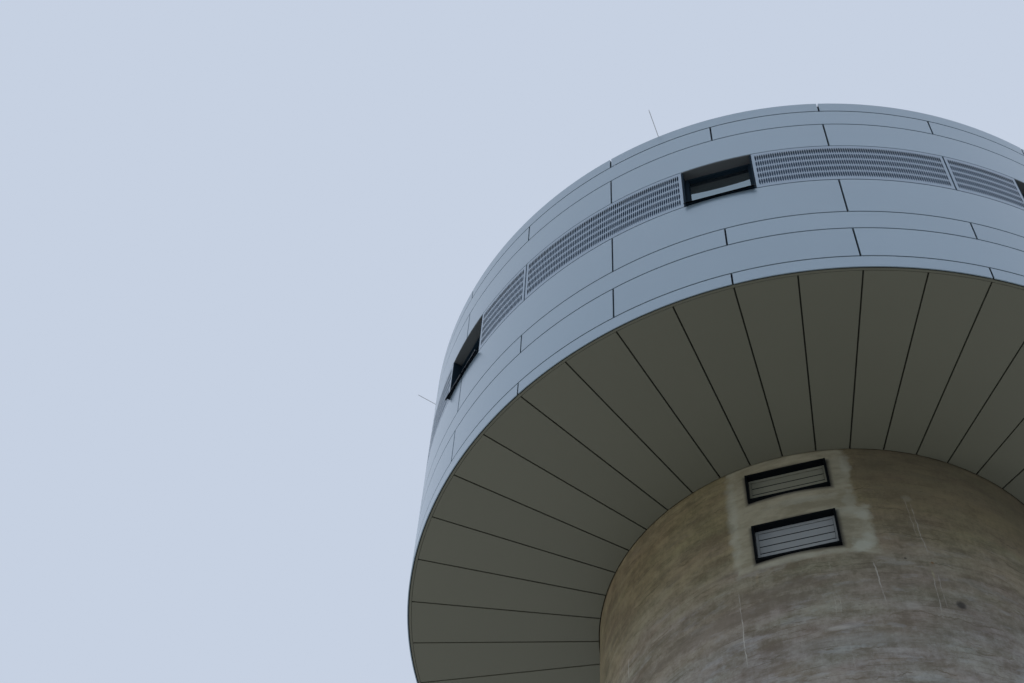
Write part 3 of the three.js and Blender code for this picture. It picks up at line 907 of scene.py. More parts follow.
def shaft_marks(sizes: Measures) -> tuple[Mark, ...]:
    """What is drawn on the shaft's concrete, the painted shade round the window frames included, in the order
    in which it is drawn.
    """
    rust = (0.135, 0.070, 0.022)
    damp_band = (0.118, 0.098, 0.074)
    return (
        Stain(15.0, 105.0, 21.6, 23.9, 0.62),
        Patch(-14.0, 13.6, 21.32, sizes.soffit + 0.5, 0.35),
        Patch(6.0, 16.3, 21.27, 22.46, 0.7),
        Dab(-13.3, 22.6, 0.11, 1.35, 0.30),
        Dab(1.0, 21.34, 0.95, 0.07, 0.35),
        Dab(3.0, 22.76, 0.60, 0.10, 0.35),
        Dab(13.1, 21.48, 0.17, 0.15, 0.85),
        Dab(14.9, 21.60, 0.12, 0.20, 0.55),
        Dab(14.5, 22.25, 0.13, 0.17, 0.55),
        Dab(12.6, 22.60, 0.12, 0.34, 0.28),
        Dab(13.3, 23.60, 0.09, 0.28, 0.35),
        Dab(24.9, 22.70, 0.08, 0.08, 0.18),
        Dab(-20.0, 20.42, 1.55, 0.20, 0.60, damp_band),
        Dab(-4.0, 20.75, 0.90, 0.13, 0.40, damp_band),
        Dab(17.0, 20.55, 0.80, 0.10, 0.40, damp_band),
        Dab(30.0, 19.75, 0.90, 0.12, 0.40, damp_band),
        Dab(8.0, 19.35, 0.95, 0.14, 0.20, (0.300, 0.300, 0.285)),
        Dab(20.5, 20.05, 0.16, 0.09, 0.45, (0.320, 0.310, 0.280)),
        Dab(5.5, 19.62, 0.22, 0.05, 0.60, (0.340, 0.325, 0.290)),
        Run(-13.8, 20.45, 19.2, 0.013, 0.60),
        Run(-13.8, 21.15, 20.2, 0.011, 0.40),
        Run(-13.1, 21.10, 20.7, 0.010, 0.25),
        Run(5.9, 21.2, 20.75, 0.018, 0.24, 0.1, (0.27, 0.29, 0.22)),
        Run(5.4, 20.5, 19.8, 0.010, 0.34),
        Run(6.4, 20.4, 19.8, 0.010, 0.34),
        Run(14.7, 21.1, 20.0, 0.014, 0.55, 0.6),
        Run(24.3, 22.75, 21.6, 0.010, 0.22, 0.9),
        Run(25.4, 22.65, 21.2, 0.014, 0.30, 0.9),
        Run(26.3, 21.15, 20.6, 0.026, 0.60, 0.1, (0.33, 0.31, 0.17)),
        Run(26.2, 20.8, 19.7, 0.012, 0.40, -0.3),
        Run(27.3, 20.9, 19.9, 0.011, 0.28),
        Run(-9.3, 21.28, 20.9, 0.034, 0.45, 0.0, (0.30, 0.225, 0.125)),
        Run(-10.6, 21.25, 20.9, 0.018, 0.40, 0.0, (0.34, 0.30, 0.20)),
        Run(-46.9, 21.5, 20.7, 0.014, 0.45),
        Run(6.9, 19.4, 18.5, 0.010, 0.22),
        Run(64.0, 23.2, 14.0, 0.013, 0.30),
        Run(121.0, 23.0, 16.0, 0.014, 0.35),
        Run(158.0, 22.2, 12.5, 0.013, 0.35),
        Run(-96.0, 23.0, 17.0, 0.014, 0.35),
        Run(-147.0, 22.6, 13.0, 0.013, 0.35),
        Spot(30.6, 20.20, 0.105, (0.018, 0.015, 0.012)),
        Spot(26.8, 21.11, 0.034, rust),
        Spot(21.3, 21.15, 0.028),
        # painted shade round the frames of the two shaft windows
        *(
            FrameShade(high.x, low.z, high.z)
            for low, high in (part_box(f"{where}_shaft_window_frame") for where in ("upper", "lower"))
        ),
    )


@dataclass
class Finishes:
    """Every material, made once."""

    cladding: Material
    soffit: Material
    seam: Material
    grille: Material
    shade_backing: Material
    lintel: Material
    lining: Material
    sill: Material
    black: Material
    rail: Material
    louvre: Material
    high_louvre: Material
    glass: Material
    door: Material
    rod: Material
    shaft: Material
    inner_concrete: Material
    roof: Material

    @classmethod
    def for_tower(cls, sizes: Measures) -> Finishes:
        """Makes them for a tower of the given sizes."""
        looks = {
            "cladding": CoatedSheet("blue_grey_cladding", (0.203, 0.270, 0.328), 0.34, 0.35, 0.6),
            # painted shade: the soffit's dark olive grey is how the sheet looks in the shade under the drum,
            # darker than its own colour
            "soffit": CoatedSheet("shaded_soffit_sheet", (0.113, 0.113, 0.084), 0.55, 0.1, 0.0, 0.06, 0.04),
            # partly painted shade: real rails showing in the seams, made near black so that the seams read as
            # deep shade
            "seam": Paint("brown_soffit_seam", (0.026, 0.026, 0.020), 0.8, dusty=0.1, gloss=0.1),
            "grille": CoatedSheet("blue_grey_grille", (0.190, 0.250, 0.315), 0.36, 0.35, 0.5, 0.0),
            # painted shade behind the slots, tinted blue as a painted reflection of the sky
            "shade_backing": Paint("painted_shade_backing", (0.030, 0.058, 0.100), 0.6, dusty=0.0, gloss=0.1),
            # painted light and shade: the lintel is lighter for the light its underside catches from below;
            # the jamb sheet, on jambs and casement, is darker than its own anthracite for the recess's shade
            "lintel": Paint("lit_lintel_sheet", (0.066, 0.073, 0.078), 0.5),
            "lining": Paint("shaded_jamb_sheet", (0.008, 0.016, 0.025), 0.60, dusty=0.005, gloss=0.03),
            "sill": Paint("black_sill_sheet", (0.003, 0.007, 0.013), 0.20, dusty=0.01, gloss=0.16),
            "black": Paint("black_frame_paint", (0.002, 0.003, 0.004), 0.45, dusty=0.01, gloss=0.06),
            # partly painted shade: real rails, made near black so that the open joints in front of them read
            # as deep shade
            "rail": Paint("dark_rail", (0.004, 0.008, 0.015), 0.6, dusty=0.02, gloss=0.1),
            "louvre": CoatedSheet("grey_louvre", (0.290, 0.310, 0.315), 0.42, 0.4, tone_spread=0.0),
            "high_louvre": CoatedSheet(
                "shaded_grey_louvre", (0.245, 0.245, 0.190), 0.42, 0.4, tone_spread=0.0
            ),
            "glass": WindowGlass("dark_glass"),
            "door": Paint(
                "grey_door_paint", (0.105, 0.120, 0.132), 0.45, dust=(0.2, 0.19, 0.17), dusty=0.3
            ),
            "rod": Paint("galvanised_rod", (0.42, 0.43, 0.44), 0.38, 0.9, dusty=0.2),
            "shaft": WeatheredConcrete("shaft_concrete", sizes.shaft_radius, shaft_marks(sizes)),
            "inner_concrete": WeatheredConcrete("inner_concrete", sizes.drum_radius),
            "roof": RoofFelt("roof_felt"),
        }
        return cls(**{name: look.material() for name, look in looks.items()})


def place_piece(name: str, mesh: Mesh, finish: Material, nodes: Sequence[str] = ()) -> None:
    """Puts a finished mesh in the scene as a piece of the tower.

    Args:
        name: the piece's name.
        mesh: its mesh, already in place.
        finish: its one material.
        nodes: the CAD nodes that it stands for.
    """
    mesh.materials.clear()
    mesh.materials.append(finish)
    piece = linked(name, mesh)
    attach(piece, BODY)
    if nodes:
        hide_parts(*nodes)
    log.info("%s: %d faces", name, len(mesh.polygons))


@dataclass
class Cladding:
    """The courses of curved panels round the drum, with the rails that carry them."""

    sizes: Measures
    finishes: Finishes
    sheet_depth: float = 0.040
    edge: float = 0.003
    fascia_sheet: float = 0.018
    fascia_rail_foot: float = 0.060
    coping_sheet: float = 0.012
    coping_flange: float = 0.160
    coping_overhang: float = 0.31  # from the parapet's outer face in to the flange
    rail_gap: float = 0.002
    rail_depth: float = 0.030
    rail_width: float = 0.070
    courses: dict[str, Bond] = field(
        default_factory=lambda: {
            "lower_tall_course": Bond.BETWEEN,
            "lower_narrow_course": Bond.OVER_WINDOW,
            "sill_course": Bond.BETWEEN,
            "upper_tall_course": Bond.BETWEEN,
            "upper_narrow_course": Bond.OVER_WINDOW,
        }
    )

    def course(self, name: str, node: str, outline: Outline, bond: Bond, seed: int) -> None:
        """One course of panels with open joints between them."""
        pitch = FULL_TURN / PANELS
        half = pitch / 2 - subtended(JOINT / 2, self.sizes.drum_radius)
        unit = Draft().sweep(outline, arc_angles(-half, half)).bevel(self.edge).mesh(name + "_panel")
        array = RoundArray(PANELS, bond.value + pitch / 2, pitch, seed=seed)
        finish = self.finishes.cladding
        place_piece(name, array.spread(unit, name, finish), finish, [node])

    def rails(self) -> None:
        """Dark rails behind the joints, upright and level."""
        radius = self.sizes.drum_radius - self.sheet_depth - self.rail_gap
        inner = radius - self.rail_depth
        draft = Draft()
        half = subtended(self.rail_width / 2, radius)
        ringed = {"fascia_ring": Bond.OVER_WINDOW, **self.courses, "coping": Bond.BETWEEN}
        for node, bond in ringed.items():
            low, high = heights(node)
            if node == "fascia_ring":
                low += self.fascia_rail_foot
            if node == "coping":
                high -= 2 * self.sheet_depth
            for i in range(PANELS):
                angle = bond.value + i * FULL_TURN / PANELS
                upright = rectangle(inner, radius, low, high)
                draft.sweep(upright, arc_angles(angle - half, angle + half, 1.0))
            draft.sweep(rectangle(inner, radius, high - self.rail_width / 3, high + self.rail_width / 3))
        draft.place("cladding_rails", self.finishes.rail, Slot.DARK_FRAME)

    def build(self) -> None:
        """Makes every course."""
        radius = self.sizes.drum_radius
        for seed, (node, bond) in enumerate(self.courses.items(), 3):
            low, high = heights(node)
            outline = rectangle(radius - self.sheet_depth, radius, low + SHADOW, high - SHADOW)
            self.course(node + "_panels", node, outline, bond, seed)
        low, high = heights("fascia_ring")
        fascia = rectangle(radius - self.fascia_sheet, radius, low, high - SHADOW)
        self.course("fascia_panels", "fascia_ring", fascia, Bond.OVER_WINDOW, 1)
        low, high = heights("coping")
        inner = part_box("parapet")[1].x - self.coping_overhang
        sheet = self.coping_sheet
        coping = (
            (radius - sheet, low + SHADOW),
            (radius, low + SHADOW),
            (radius, high),
            (inner, high),
            (inner, high - self.coping_flange),
            (inner + sheet, high - self.coping_flange),
            (inner + sheet, high - sheet),
            (radius - sheet, high - sheet),
        )
        self.course("coping_panels", "coping", coping, Bond.BETWEEN, 2)
        self.rails()


@dataclass
class Soffit:
    """The flat underside: panels that narrow towards the shaft in a plain edge strip, on round rails."""

    sizes: Measures
    finishes: Finishes
    panels: int = 48
    sheet: float = 0.030
    seam: float = 0.028
    edge: float = 0.002
    edge_strip: float = 0.046
    edge_gap: float = 0.006
    rail_half: float = 0.05
    rail_inset: float = 0.34

    def panel(self) -> Mesh:
        """One panel, centred on the front, with straight parallel gaps to its neighbours."""
        low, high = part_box("soffit_panels")
        outer, inner = high.x - self.edge_strip, self.sizes.shaft_radius + 0.020
        half_pitch = FULL_TURN / self.panels / 2
        corners: list[Span] = []
        for radius, direction in ((outer, 1), (inner, -1)):
            half = half_pitch - subtended(self.seam / 2, radius)
            points = (polar(radius, angle, 0.0) for angle in arc_angles(-half, half)[::direction])
            corners += [(point.x, point.y) for point in points]
        return Draft().prism(corners, low.z, low.z + self.sheet).bevel(self.edge).mesh("soffit_panel")

    def build(self) -> None:
        """Makes the soffit."""
        pitch = FULL_TURN / self.panels
        finish = self.finishes.soffit
        sheets = RoundArray(self.panels, pitch / 2, pitch, seed=11).spread(self.panel(), "sheets", finish)
        low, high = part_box("soffit_panels")
        base = low.z + self.sheet
        outline = rectangle(high.x - self.edge_strip + self.edge_gap, high.x, low.z, base)
        strip = Draft().sweep(outline).bevel(self.edge).mesh("soffit_edge_strip")
        sheets = joined("soffit_sheets", [sheets, strip])
        place_piece("soffit_sheets", sheets, finish, ["soffit_panels"])
        shaft = self.sizes.shaft_radius
        draft = Draft()
        for i in range(self.panels):
            along = (-high.x + 0.03, -shaft - 0.03)
            rail = Draft().block((-self.rail_half, self.rail_half), along, (base, base + 0.03))
            draft.bm.from_mesh(rail.turned(i * pitch).mesh("soffit_rail"))
        for radius in (shaft + self.rail_inset, high.x - self.rail_inset):
            draft.sweep(rectangle(radius - 0.02, radius + 0.02, base + 0.0305, high.z))
        for inner, outer in ((high.x - 0.06, high.x + 0.015), (shaft + 0.004, shaft + 0.06)):
            draft.sweep(rectangle(inner, outer, base, base + 0.02))
        draft.place("soffit_rails", self.finishes.seam, Slot.DARK_FRAME)


@dataclass
class VentGrille:
    """The two slotted panels between one window and the next."""

    sizes: Measures
    finishes: Finishes
    number: int
    start: float
    end: float
    split: float
    sheet: float = 0.003
    fold: float = 0.040
    border: float = 0.032
    slot_width: float = 0.031
    slot_height: float = 0.232
    slot_outline: Outline = ((0.0, 1.0), (0.50, 0.84), (0.80, 0.44))
    shade_backing: float = 0.050  # the distance of this dark sheet of painted shade behind the slotted sheet's face
    shade_backing_sheet: float = 0.004
    slot_pitch: float = 0.0411
    row_pitch: float = 0.2374
    rows: int = 5
    lowest_row: float = 3.307  # its middle, over the soffit

    def slot_cell(self, width: float) -> Mesh:
        """One slot in its rectangle of sheet, centred on the front, at the lowest row's height.

        Args:
            width: the rectangle's width.

        Returns:
            A mesh with a front, a back and the slot's own sides.
        """
        middle = self.sizes.soffit + self.lowest_row
        tip, half_slot = self.slot_height / 2, self.slot_width / 2
        upper = [(half_slot * share, tip * up) for up, share in self.slot_outline]
        ring = [*upper, (0.0, tip), *((-x, z) for x, z in reversed(upper))]
        ring += [*((-x, -z) for x, z in upper[1:]), (0.0, -tip), *((x, -z) for x, z in reversed(upper[1:]))]
        half_width, half_height = width / 2, self.row_pitch / 2
        outer = [(x, half_height) for x in (half_width, 0.0, -half_width)]
        outer += [(x, -half_height) for x in (-half_width, 0.0, half_width)]
        points = ring + outer
        size, around = len(points), len(ring)
        face = -self.sizes.drum_radius * math.cos(math.radians(self.slot_step() / 2))
        corners = [Vector((x, y, middle + z)) for y in (face, face + self.sheet) for x, z in points]
        top, foot = len(upper), len(upper) + around // 2
        left = [*range(top, foot + 1), *(around + k for k in (4, 3, 2, 1))]
        right = [*range(foot, around), *range(top + 1), *(around + k for k in (1, 0, 5, 4))]
        faces: list[Sequence[int]] = [left, right]
        faces += [[size + i for i in reversed(side)] for side in (left, right)]
        for i in range(around):
            k = (i + 1) % around
            faces.append((i, k, size + k, size + i))
        return Draft().add(corners, faces).mesh("slot_cell")

    def slot_step(self) -> float:
        """The angle from one slot to the next."""
        return math.degrees(self.slot_pitch / self.sizes.drum_radius)

    def panel(self, start: float, end: float, low: float, high: float) -> list[Mesh]:
        """One panel: its field of slots, and the plain border with folded edges round it."""
        radius = self.sizes.drum_radius
        edge = math.degrees(self.border / radius)
        step = self.slot_step()
        columns = int((end - start - 2 * edge) / step)
        margin = (end - start - columns * step) / 2
        width = 2 * radius * math.sin(math.radians(step / 2))
        array = RoundArray(columns, start + margin + step / 2, step, self.rows, self.row_pitch)
        slots = array.spread(self.slot_cell(width), "slot_field", self.finishes.grille)
        slots_low = self.sizes.soffit + self.lowest_row - self.row_pitch / 2
        slots_high = slots_low + self.rows * self.row_pitch
        back = radius - self.sheet
        inner_start, inner_end = start + margin, end - margin
        draft = Draft()
        across = [inner_start + i * step for i in range(columns + 1)]
        for foot, head in ((low, slots_low), (slots_high, high)):
            draft.sweep(rectangle(back, radius, foot, head), across)
        for angles in ((start, inner_start), (inner_end, end)):
            draft.sweep(rectangle(back, radius, low, high), angles)
        thick = math.degrees(self.sheet / radius)
        for angle in (start, end - thick):
            draft.sweep(rectangle(radius - self.fold, back, low, high), [angle, angle + thick])
        for z in (low, high - self.sheet):
            draft.sweep(rectangle(radius - self.fold, back, z, z + self.sheet), arc_angles(start, end))
        return [slots, draft.mesh("grille_border")]

    def build(self) -> None:
        """Makes both panels as one piece, and the dark backing of painted shade behind them."""
        node = f"vent_grille_{self.number}"
        low, high = heights(node)
        gap = subtended(JOINT / 2, self.sizes.drum_radius)
        spans = ((self.start, self.split - gap), (self.split + gap, self.end))
        meshes = [mesh for a, b in spans for mesh in self.panel(a, b, low, high)]
        name = f"slotted_panels_{self.number}"
        place_piece(name, joined(name, meshes), self.finishes.grille, [node])
        back = self.sizes.drum_radius - self.shade_backing
        outline = rectangle(back - self.shade_backing_sheet, back, low - 0.010, high + 0.010)
        shade_backing = Draft().sweep(outline, arc_angles(self.start - 0.02, self.end + 0.02))
        shade_backing.place(f"vent_shade_backing_{self.number}", self.finishes.shade_backing, Slot.DARK_FRAME)


@dataclass
class DrumWindow:
    """One recessed window: a lintel sheet painted lighter for the light it catches from below, jambs and
    casement painted near black for the recess's shade, a black sill, and its glass.
    """

    sizes: Measures
    finishes: Finishes
    number: int
    turn: float
    edge: float = 0.0015
    lining: float = 0.028
    lining_set_back: float = 0.002
    lintel: float = 0.018
    casement_back: float = 0.197
    casement_face: float = 0.062
    casement_depth: float = 0.075
    casement_lap: float = 0.02
    bead: float = 0.012
    bead_back: float = 0.030
    glass_back: float = 0.267
    glass: float = 0.024
    glass_lap: float = 0.006
    sill_lift: float = 0.008  # from the head of the sill course to the opening's foot
    sill_proud: float = 0.050
    sill_thick: float = 0.034

    def build(self) -> None:
        """Makes the lining, the casement, the sill and the pane."""
        _, high = heights(f"window_frame_{self.number}")
        low = heights("sill_course")[1] + self.sill_lift
        self.make_lining(low, high)
        self.make_casement(low, high)
        self.make_sill(low)
        self.make_pane(low, high)

    def put(self, draft: Draft, part: str, finish: Material, slot: Slot, edge: float, *nodes: str) -> None:
        """Bevels a draft made at the front, turns it to the window's angle and places it."""
        name = f"drum_window_{self.number}_{part}"
        draft.bevel(edge, 1).turned(self.turn).place(name, finish, slot, *nodes)

    def make_lining(self, low: float, high: float) -> None:
        """The folded sheets round the recess, whose outer edges follow the cladding's curve."""
        half = WINDOW_HALF
        face = self.sizes.drum_radius - self.lining_set_back
        inner = -(self.sizes.drum_radius - self.casement_back - self.casement_lap)
        steps = 12
        xs = [half * (2 * i / steps - 1) for i in range(steps + 1)]
        sheet = [*((x, -math.sqrt(face**2 - x**2)) for x in xs), (half, inner), (-half, inner)]
        lintel = Draft().prism(sheet, high - self.lintel, high)
        self.put(lintel, "lintel", self.finishes.lintel, Slot.DARK_FRAME, self.edge)
        draft = Draft().prism(sheet, low, low + self.lining)
        jamb = (-math.sqrt(face**2 - half**2), inner)
        draft.uprights(half, self.lining, jamb, (low + self.lining, high - self.lintel))
        node = f"window_frame_{self.number}"
        self.put(draft, "lining", self.finishes.lining, Slot.DARK_FRAME, self.edge, node)

    def make_casement(self, low: float, high: float) -> None:
        """The casement with its glazing bead."""
        radius, face = self.sizes.drum_radius, self.casement_face
        half, base, head = WINDOW_HALF - self.lining, low + self.lining, high - self.lintel
        front = -(radius - self.casement_back)
        draft = Draft().surround(half, face, (front, front + self.casement_depth), (base, head))
        bead_y = (front + self.bead_back, -(radius - self.glass_back) - 0.001)
        draft.surround(half - face, self.bead, bead_y, (base + face, head - face))
        self.put(draft, "casement", self.finishes.lining, Slot.DARK_FRAME, self.edge)

    def make_sill(self, low: float) -> None:
        """The sloping sill, and the folded lip that it shows in front of the cladding."""
        back = -(self.sizes.drum_radius - self.casement_back) - 0.001
        front = -(self.sizes.drum_radius + self.sill_proud)
        top = low + 0.018
        foot = top - 0.012 - self.sill_thick
        sheet = (
            (front, foot),
            (front + 0.010, foot),
            (front + 0.012, top - 0.016),
            (back, top - 0.006),
            (back, top),
            (front, top - 0.012),
        )
        lip = (
            (front, foot),
            (front + 0.010, foot),
            (front + 0.034, top - 0.014),
            (front + 0.034, top - 0.010),
            (front, top - 0.011),
        )
        draft = Draft().profile(sheet, WINDOW_HALF - self.lining - 0.001)
        draft.profile(lip, WINDOW_HALF + 0.003)
        self.put(draft, "sill", self.finishes.sill, Slot.DARK_FRAME, self.edge)

    def make_pane(self, low: float, high: float) -> None:
        """The double-glazed pane."""
        rim = self.lining + self.casement_face - self.glass_lap
        half = WINDOW_HALF - rim
        y = -(self.sizes.drum_radius - self.glass_back)
        draft = Draft().block((-half, half), (y, y + self.glass), (low + rim, high - rim))
        self.put(draft, "glass", self.finishes.glass, Slot.GLASS, 0.001, f"window_pane_{self.number}")


@dataclass
class ShaftWindow:
    """A louvred window in the shaft: a flat black box frame and a grey panel of level blades."""

    finishes: Finishes
    where: str
    finish: Material
    blades: int
    wall: float = 0.040
    border: float = 0.038
    head: float = 0.055
    pitch: float = 0.173
    shadow_gap: float = 0.018
    foot_gap: float = 0.026
    side_gap: float = 0.005
    panel_depth: float = 0.040
    blade_depth: float = 0.030
    lip: float = 0.006
    fixing: float = 0.010

    def build(self) -> None:
        """Makes the frame and the louvre panel."""
        low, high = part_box(f"{self.where}_window_frame")
        draft = Draft().surround(high.x, self.wall, (low.y, high.y), (low.z, high.z)).bevel(0.002)
        node = f"{self.where}_window_frame"
        draft.place(f"{self.where}_box_frame", self.finishes.black, Slot.DARK_FRAME, node)
        self.make_louvre(f"{self.where}_louvre")

    def make_louvre(self, node: str) -> None:
        """The border, the blades with a folded lip each, and two fixings in the lowest corners."""
        low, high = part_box(node)
        depth = (low.y, low.y + self.panel_depth)
        draft = Draft().uprights(high.x, self.border, depth, (low.z, high.z))
        half = high.x - self.border
        crown = high.z - self.head
        foot = crown - self.blades * self.pitch
        for z in ((low.z, foot), (crown, high.z)):
            draft.block((-half, half), depth, z)
        for i in range(self.blades):
            base = foot + i * self.pitch + (self.foot_gap if i == 0 else self.shadow_gap)
            tip = foot + (i + 1) * self.pitch - (self.shadow_gap if i == self.blades - 1 else 0.0)
            face, deep = low.y + 0.004, low.y + self.blade_depth
            section = (
                (face, base),
                (face + self.lip, base + 0.002),
                (face + self.lip, base + 0.006),
                (deep - 0.010, tip),
                (face + 0.004, tip),
            )
            draft.profile(section, half - self.side_gap)
        draft.bevel(0.001, 1).place(f"{self.where}_louvre_panel", self.finish, Slot.LOUVRE, node)
        backing = Draft().block((-half, half), (low.y + 0.036, low.y + 0.039), (foot, crown))
        for side in (-1, 1):
            head = [Vector((side * (half - 0.012), low.y + d, foot + 0.006)) for d in (-0.003, 0.010)]
            backing.tube(head, [self.fixing, self.fixing], 10)
        backing.place(f"{self.where}_louvre_backing", self.finishes.rail, Slot.DARK_FRAME)


@dataclass
class Shaft:
    """The round concrete wall with its openings."""

    sizes: Measures
    finishes: Finishes
    wall: float = 0.300
    clear: float = 0.0005  # left free round a frame
    cut: Span = (-0.3, 0.6)  # from in front of the outer face to behind it

    def build(self) -> None:
        """Cuts the openings through a smooth ring."""
        outer = self.sizes.shaft_radius
        outline = rectangle(outer - self.wall, outer, *heights("shaft_wall_back"))
        ring = Draft().sweep(outline).mesh("shaft_ring")
        cutter = Draft()
        for node in ("upper_shaft_window_frame", "lower_shaft_window_frame", "entrance_door_frame"):
            low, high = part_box(node)
            x, z = ((low[axis] - self.clear, high[axis] + self.clear) for axis in (0, 2))
            cutter.block(x, (-outer + self.cut[0], -outer + self.cut[1]), z)
        mesh = carved("shaft_wall", ring, cutter.mesh("shaft_openings"))
        nodes = [f"shaft_wall_{side}" for side in SIDES]
        place_piece("shaft_wall", mesh, self.finishes.shaft, nodes)


@dataclass
class Roof:
    """The parapet and the felted deck inside it."""

    sizes: Measures
    finishes: Finishes
    wall: float = 0.250
    joint: float = 0.016

    def build(self) -> None:
        """Makes both as smooth rounds."""
        low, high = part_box("parapet")
        ring = Draft().sweep(rectangle(high.x - self.wall, high.x, low.z, high.z)).bevel(0.004, 1)
        ring.place("parapet_wall", self.finishes.inner_concrete, Slot.CONCRETE, "parapet")
        rim = low.z - 0.0003
        inside = high.x - self.wall - self.joint
        low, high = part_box("roof_slab")
        draft = Draft()
        for radius, base, top in ((high.x, low.z, rim), (inside, rim - 0.001, high.z)):
            stops = (polar(radius, FULL_TURN * i / RING_SIDES, 0.0) for i in range(RING_SIDES))
            draft.prism([(p.x, p.y) for p in stops], base, top)
        draft.place("roof_deck", self.finishes.roof, Slot.CONCRETE, "roof_slab")


@dataclass
class LightningRods:
    """Six rods that lean out over the coping from a ring conductor."""

    sizes: Measures
    finishes: Finishes
    count: int = 6
    first: float = -7.5
    foot: float = 7.905
    tip: float = 8.440
    rise: float = 0.390
    radius: float = 0.0075
    conductor: float = 7.880
    wire: float = 0.004
    holders: int = 48
    first_holder: float = 3.75

    def build(self) -> None:
        """Makes the rods, their clamps, the conductor and its holders."""
        foot, conductor, finish = self.foot, self.conductor, self.finishes.rod
        top = self.sizes.top + 0.0003
        start, end = polar(foot, 0.0, top + 0.018), polar(self.tip, 0.0, top + 0.018 + self.rise)
        path, radii = [start, start.lerp(end, 0.94), end], [self.radius, self.radius, self.radius * 0.35]
        unit = Draft().tube(path, radii)
        unit.block((-0.030, 0.030), (-foot - 0.030, -conductor + 0.012), (top, top + 0.006))
        unit.block((-0.016, 0.016), (-foot - 0.012, -foot + 0.012), (top + 0.006, top + 0.034))
        rods = RoundArray(self.count, self.first, FULL_TURN / self.count, seed=5)
        clip = Draft().block((-0.012, 0.012), (-conductor - 0.012, -conductor + 0.012), (top, top + 0.022))
        clips = RoundArray(self.holders, self.first_holder, FULL_TURN / self.holders, seed=6)
        turns = [2 * math.pi * i / 8 for i in range(8)]
        wire = [(conductor + self.wire * math.cos(a), top + 0.012 + self.wire * math.sin(a)) for a in turns]
        meshes = [
            rods.spread(unit.mesh("rod_unit"), "rods", finish),
            clips.spread(clip.bevel(0.002, 1).mesh("holder_unit"), "holders", finish),
            Draft().sweep(wire).mesh("conductor_wire"),
        ]
        name = "lightning_rod_set"
        place_piece(name, joined(name, meshes), finish, ["lightning_rods"])


@dataclass
class Entrance:
    """The closed steel door in the shaft's foot."""

    finishes: Finishes
    edge: float = 0.003
    clear: float = 0.003
    hinges: tuple[float, ...] = (0.25, 1.15, 1.95)
    handle_height: float = 1.05

    def build(self) -> None:
        """Makes the frame, the leaf, and its hinges and lever."""
        low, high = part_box("entrance_door_frame")
        leaf_low, leaf_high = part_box("entrance_door")
        bar = high.x - leaf_high.x
        y = (low.y, high.y)
        draft = Draft().uprights(high.x, bar - 0.0004, y, (low.z, high.z))
        draft.block((-high.x + bar, high.x - bar), y, (high.z - bar + 0.0004, high.z)).bevel(self.edge)
        draft.place("door_frame_bars", self.finishes.black, Slot.DARK_FRAME, "entrance_door_frame")
        x, z = ((leaf_low[axis] + self.clear, leaf_high[axis] - self.clear) for axis in (0, 2))
        leaf = Draft().block(x, (leaf_low.y, leaf_high.y), z).bevel(self.edge)
        face = leaf_low.y
        for hinge in self.hinges:
            base = leaf_low.z + hinge
            pin = [Vector((leaf_low.x + 0.004, face - 0.006, base + dz)) for dz in (0.0, 0.11)]
            leaf.tube(pin, [0.009, 0.009])
        x, z = leaf_high.x - 0.075, leaf_low.z + self.handle_height
        leaf.block((x - 0.022, x + 0.022), (face - 0.007, face - 0.0002), (z - 0.11, z + 0.11))
        leaf.tube([Vector((x, face - d, z + 0.04)) for d in (0.006, 0.055)], [0.010, 0.010])
        leaf.tube([Vector((x + d, face - 0.052, z + 0.04)) for d in (0.010, -0.125)], [0.010, 0.009])
        leaf.place("door_leaf", self.finishes.door, Slot.DOOR, "entrance_door")


@dataclass(frozen=True)
class ViewPoint:
    """Where the photograph was taken from: in front of the tower, looking steeply up."""

    distance: float = 21.19
    angle: float = 4.14
    height: float = 1.644
    yaw: float = -21.877
    pitch: float = 57.573
    roll: float = 4.667
    lens: float = 56.02
    sensor: float = 36.0

    def build(self) -> None:
        """Makes the camera."""
        data = bpy.data.cameras.new("photograph_camera")
        data.lens, data.sensor_width = self.lens, self.sensor
        data.clip_start, data.clip_end = 0.1, 2000.0
        camera = linked("photograph_camera", data)
        yaw, pitch, roll = (math.radians(a) for a in (self.yaw, self.pitch, self.roll))
        ahead = Vector((math.sin(yaw) * math.cos(pitch), math.cos(yaw) * math.cos(pitch), math.sin(pitch)))
        level = Vector((math.cos(yaw), -math.sin(yaw), 0.0))
        above = level.cross(ahead)
        right = level * math.cos(roll) + above * math.sin(roll)
        up = above * math.cos(roll) - level * math.sin(roll)
        turn = Matrix((right, up, -ahead)).transposed().to_4x4()
        camera.matrix_world = Matrix.Translation(polar(self.distance, self.angle, self.height)) @ turn
        bpy.context.scene.camera = camera


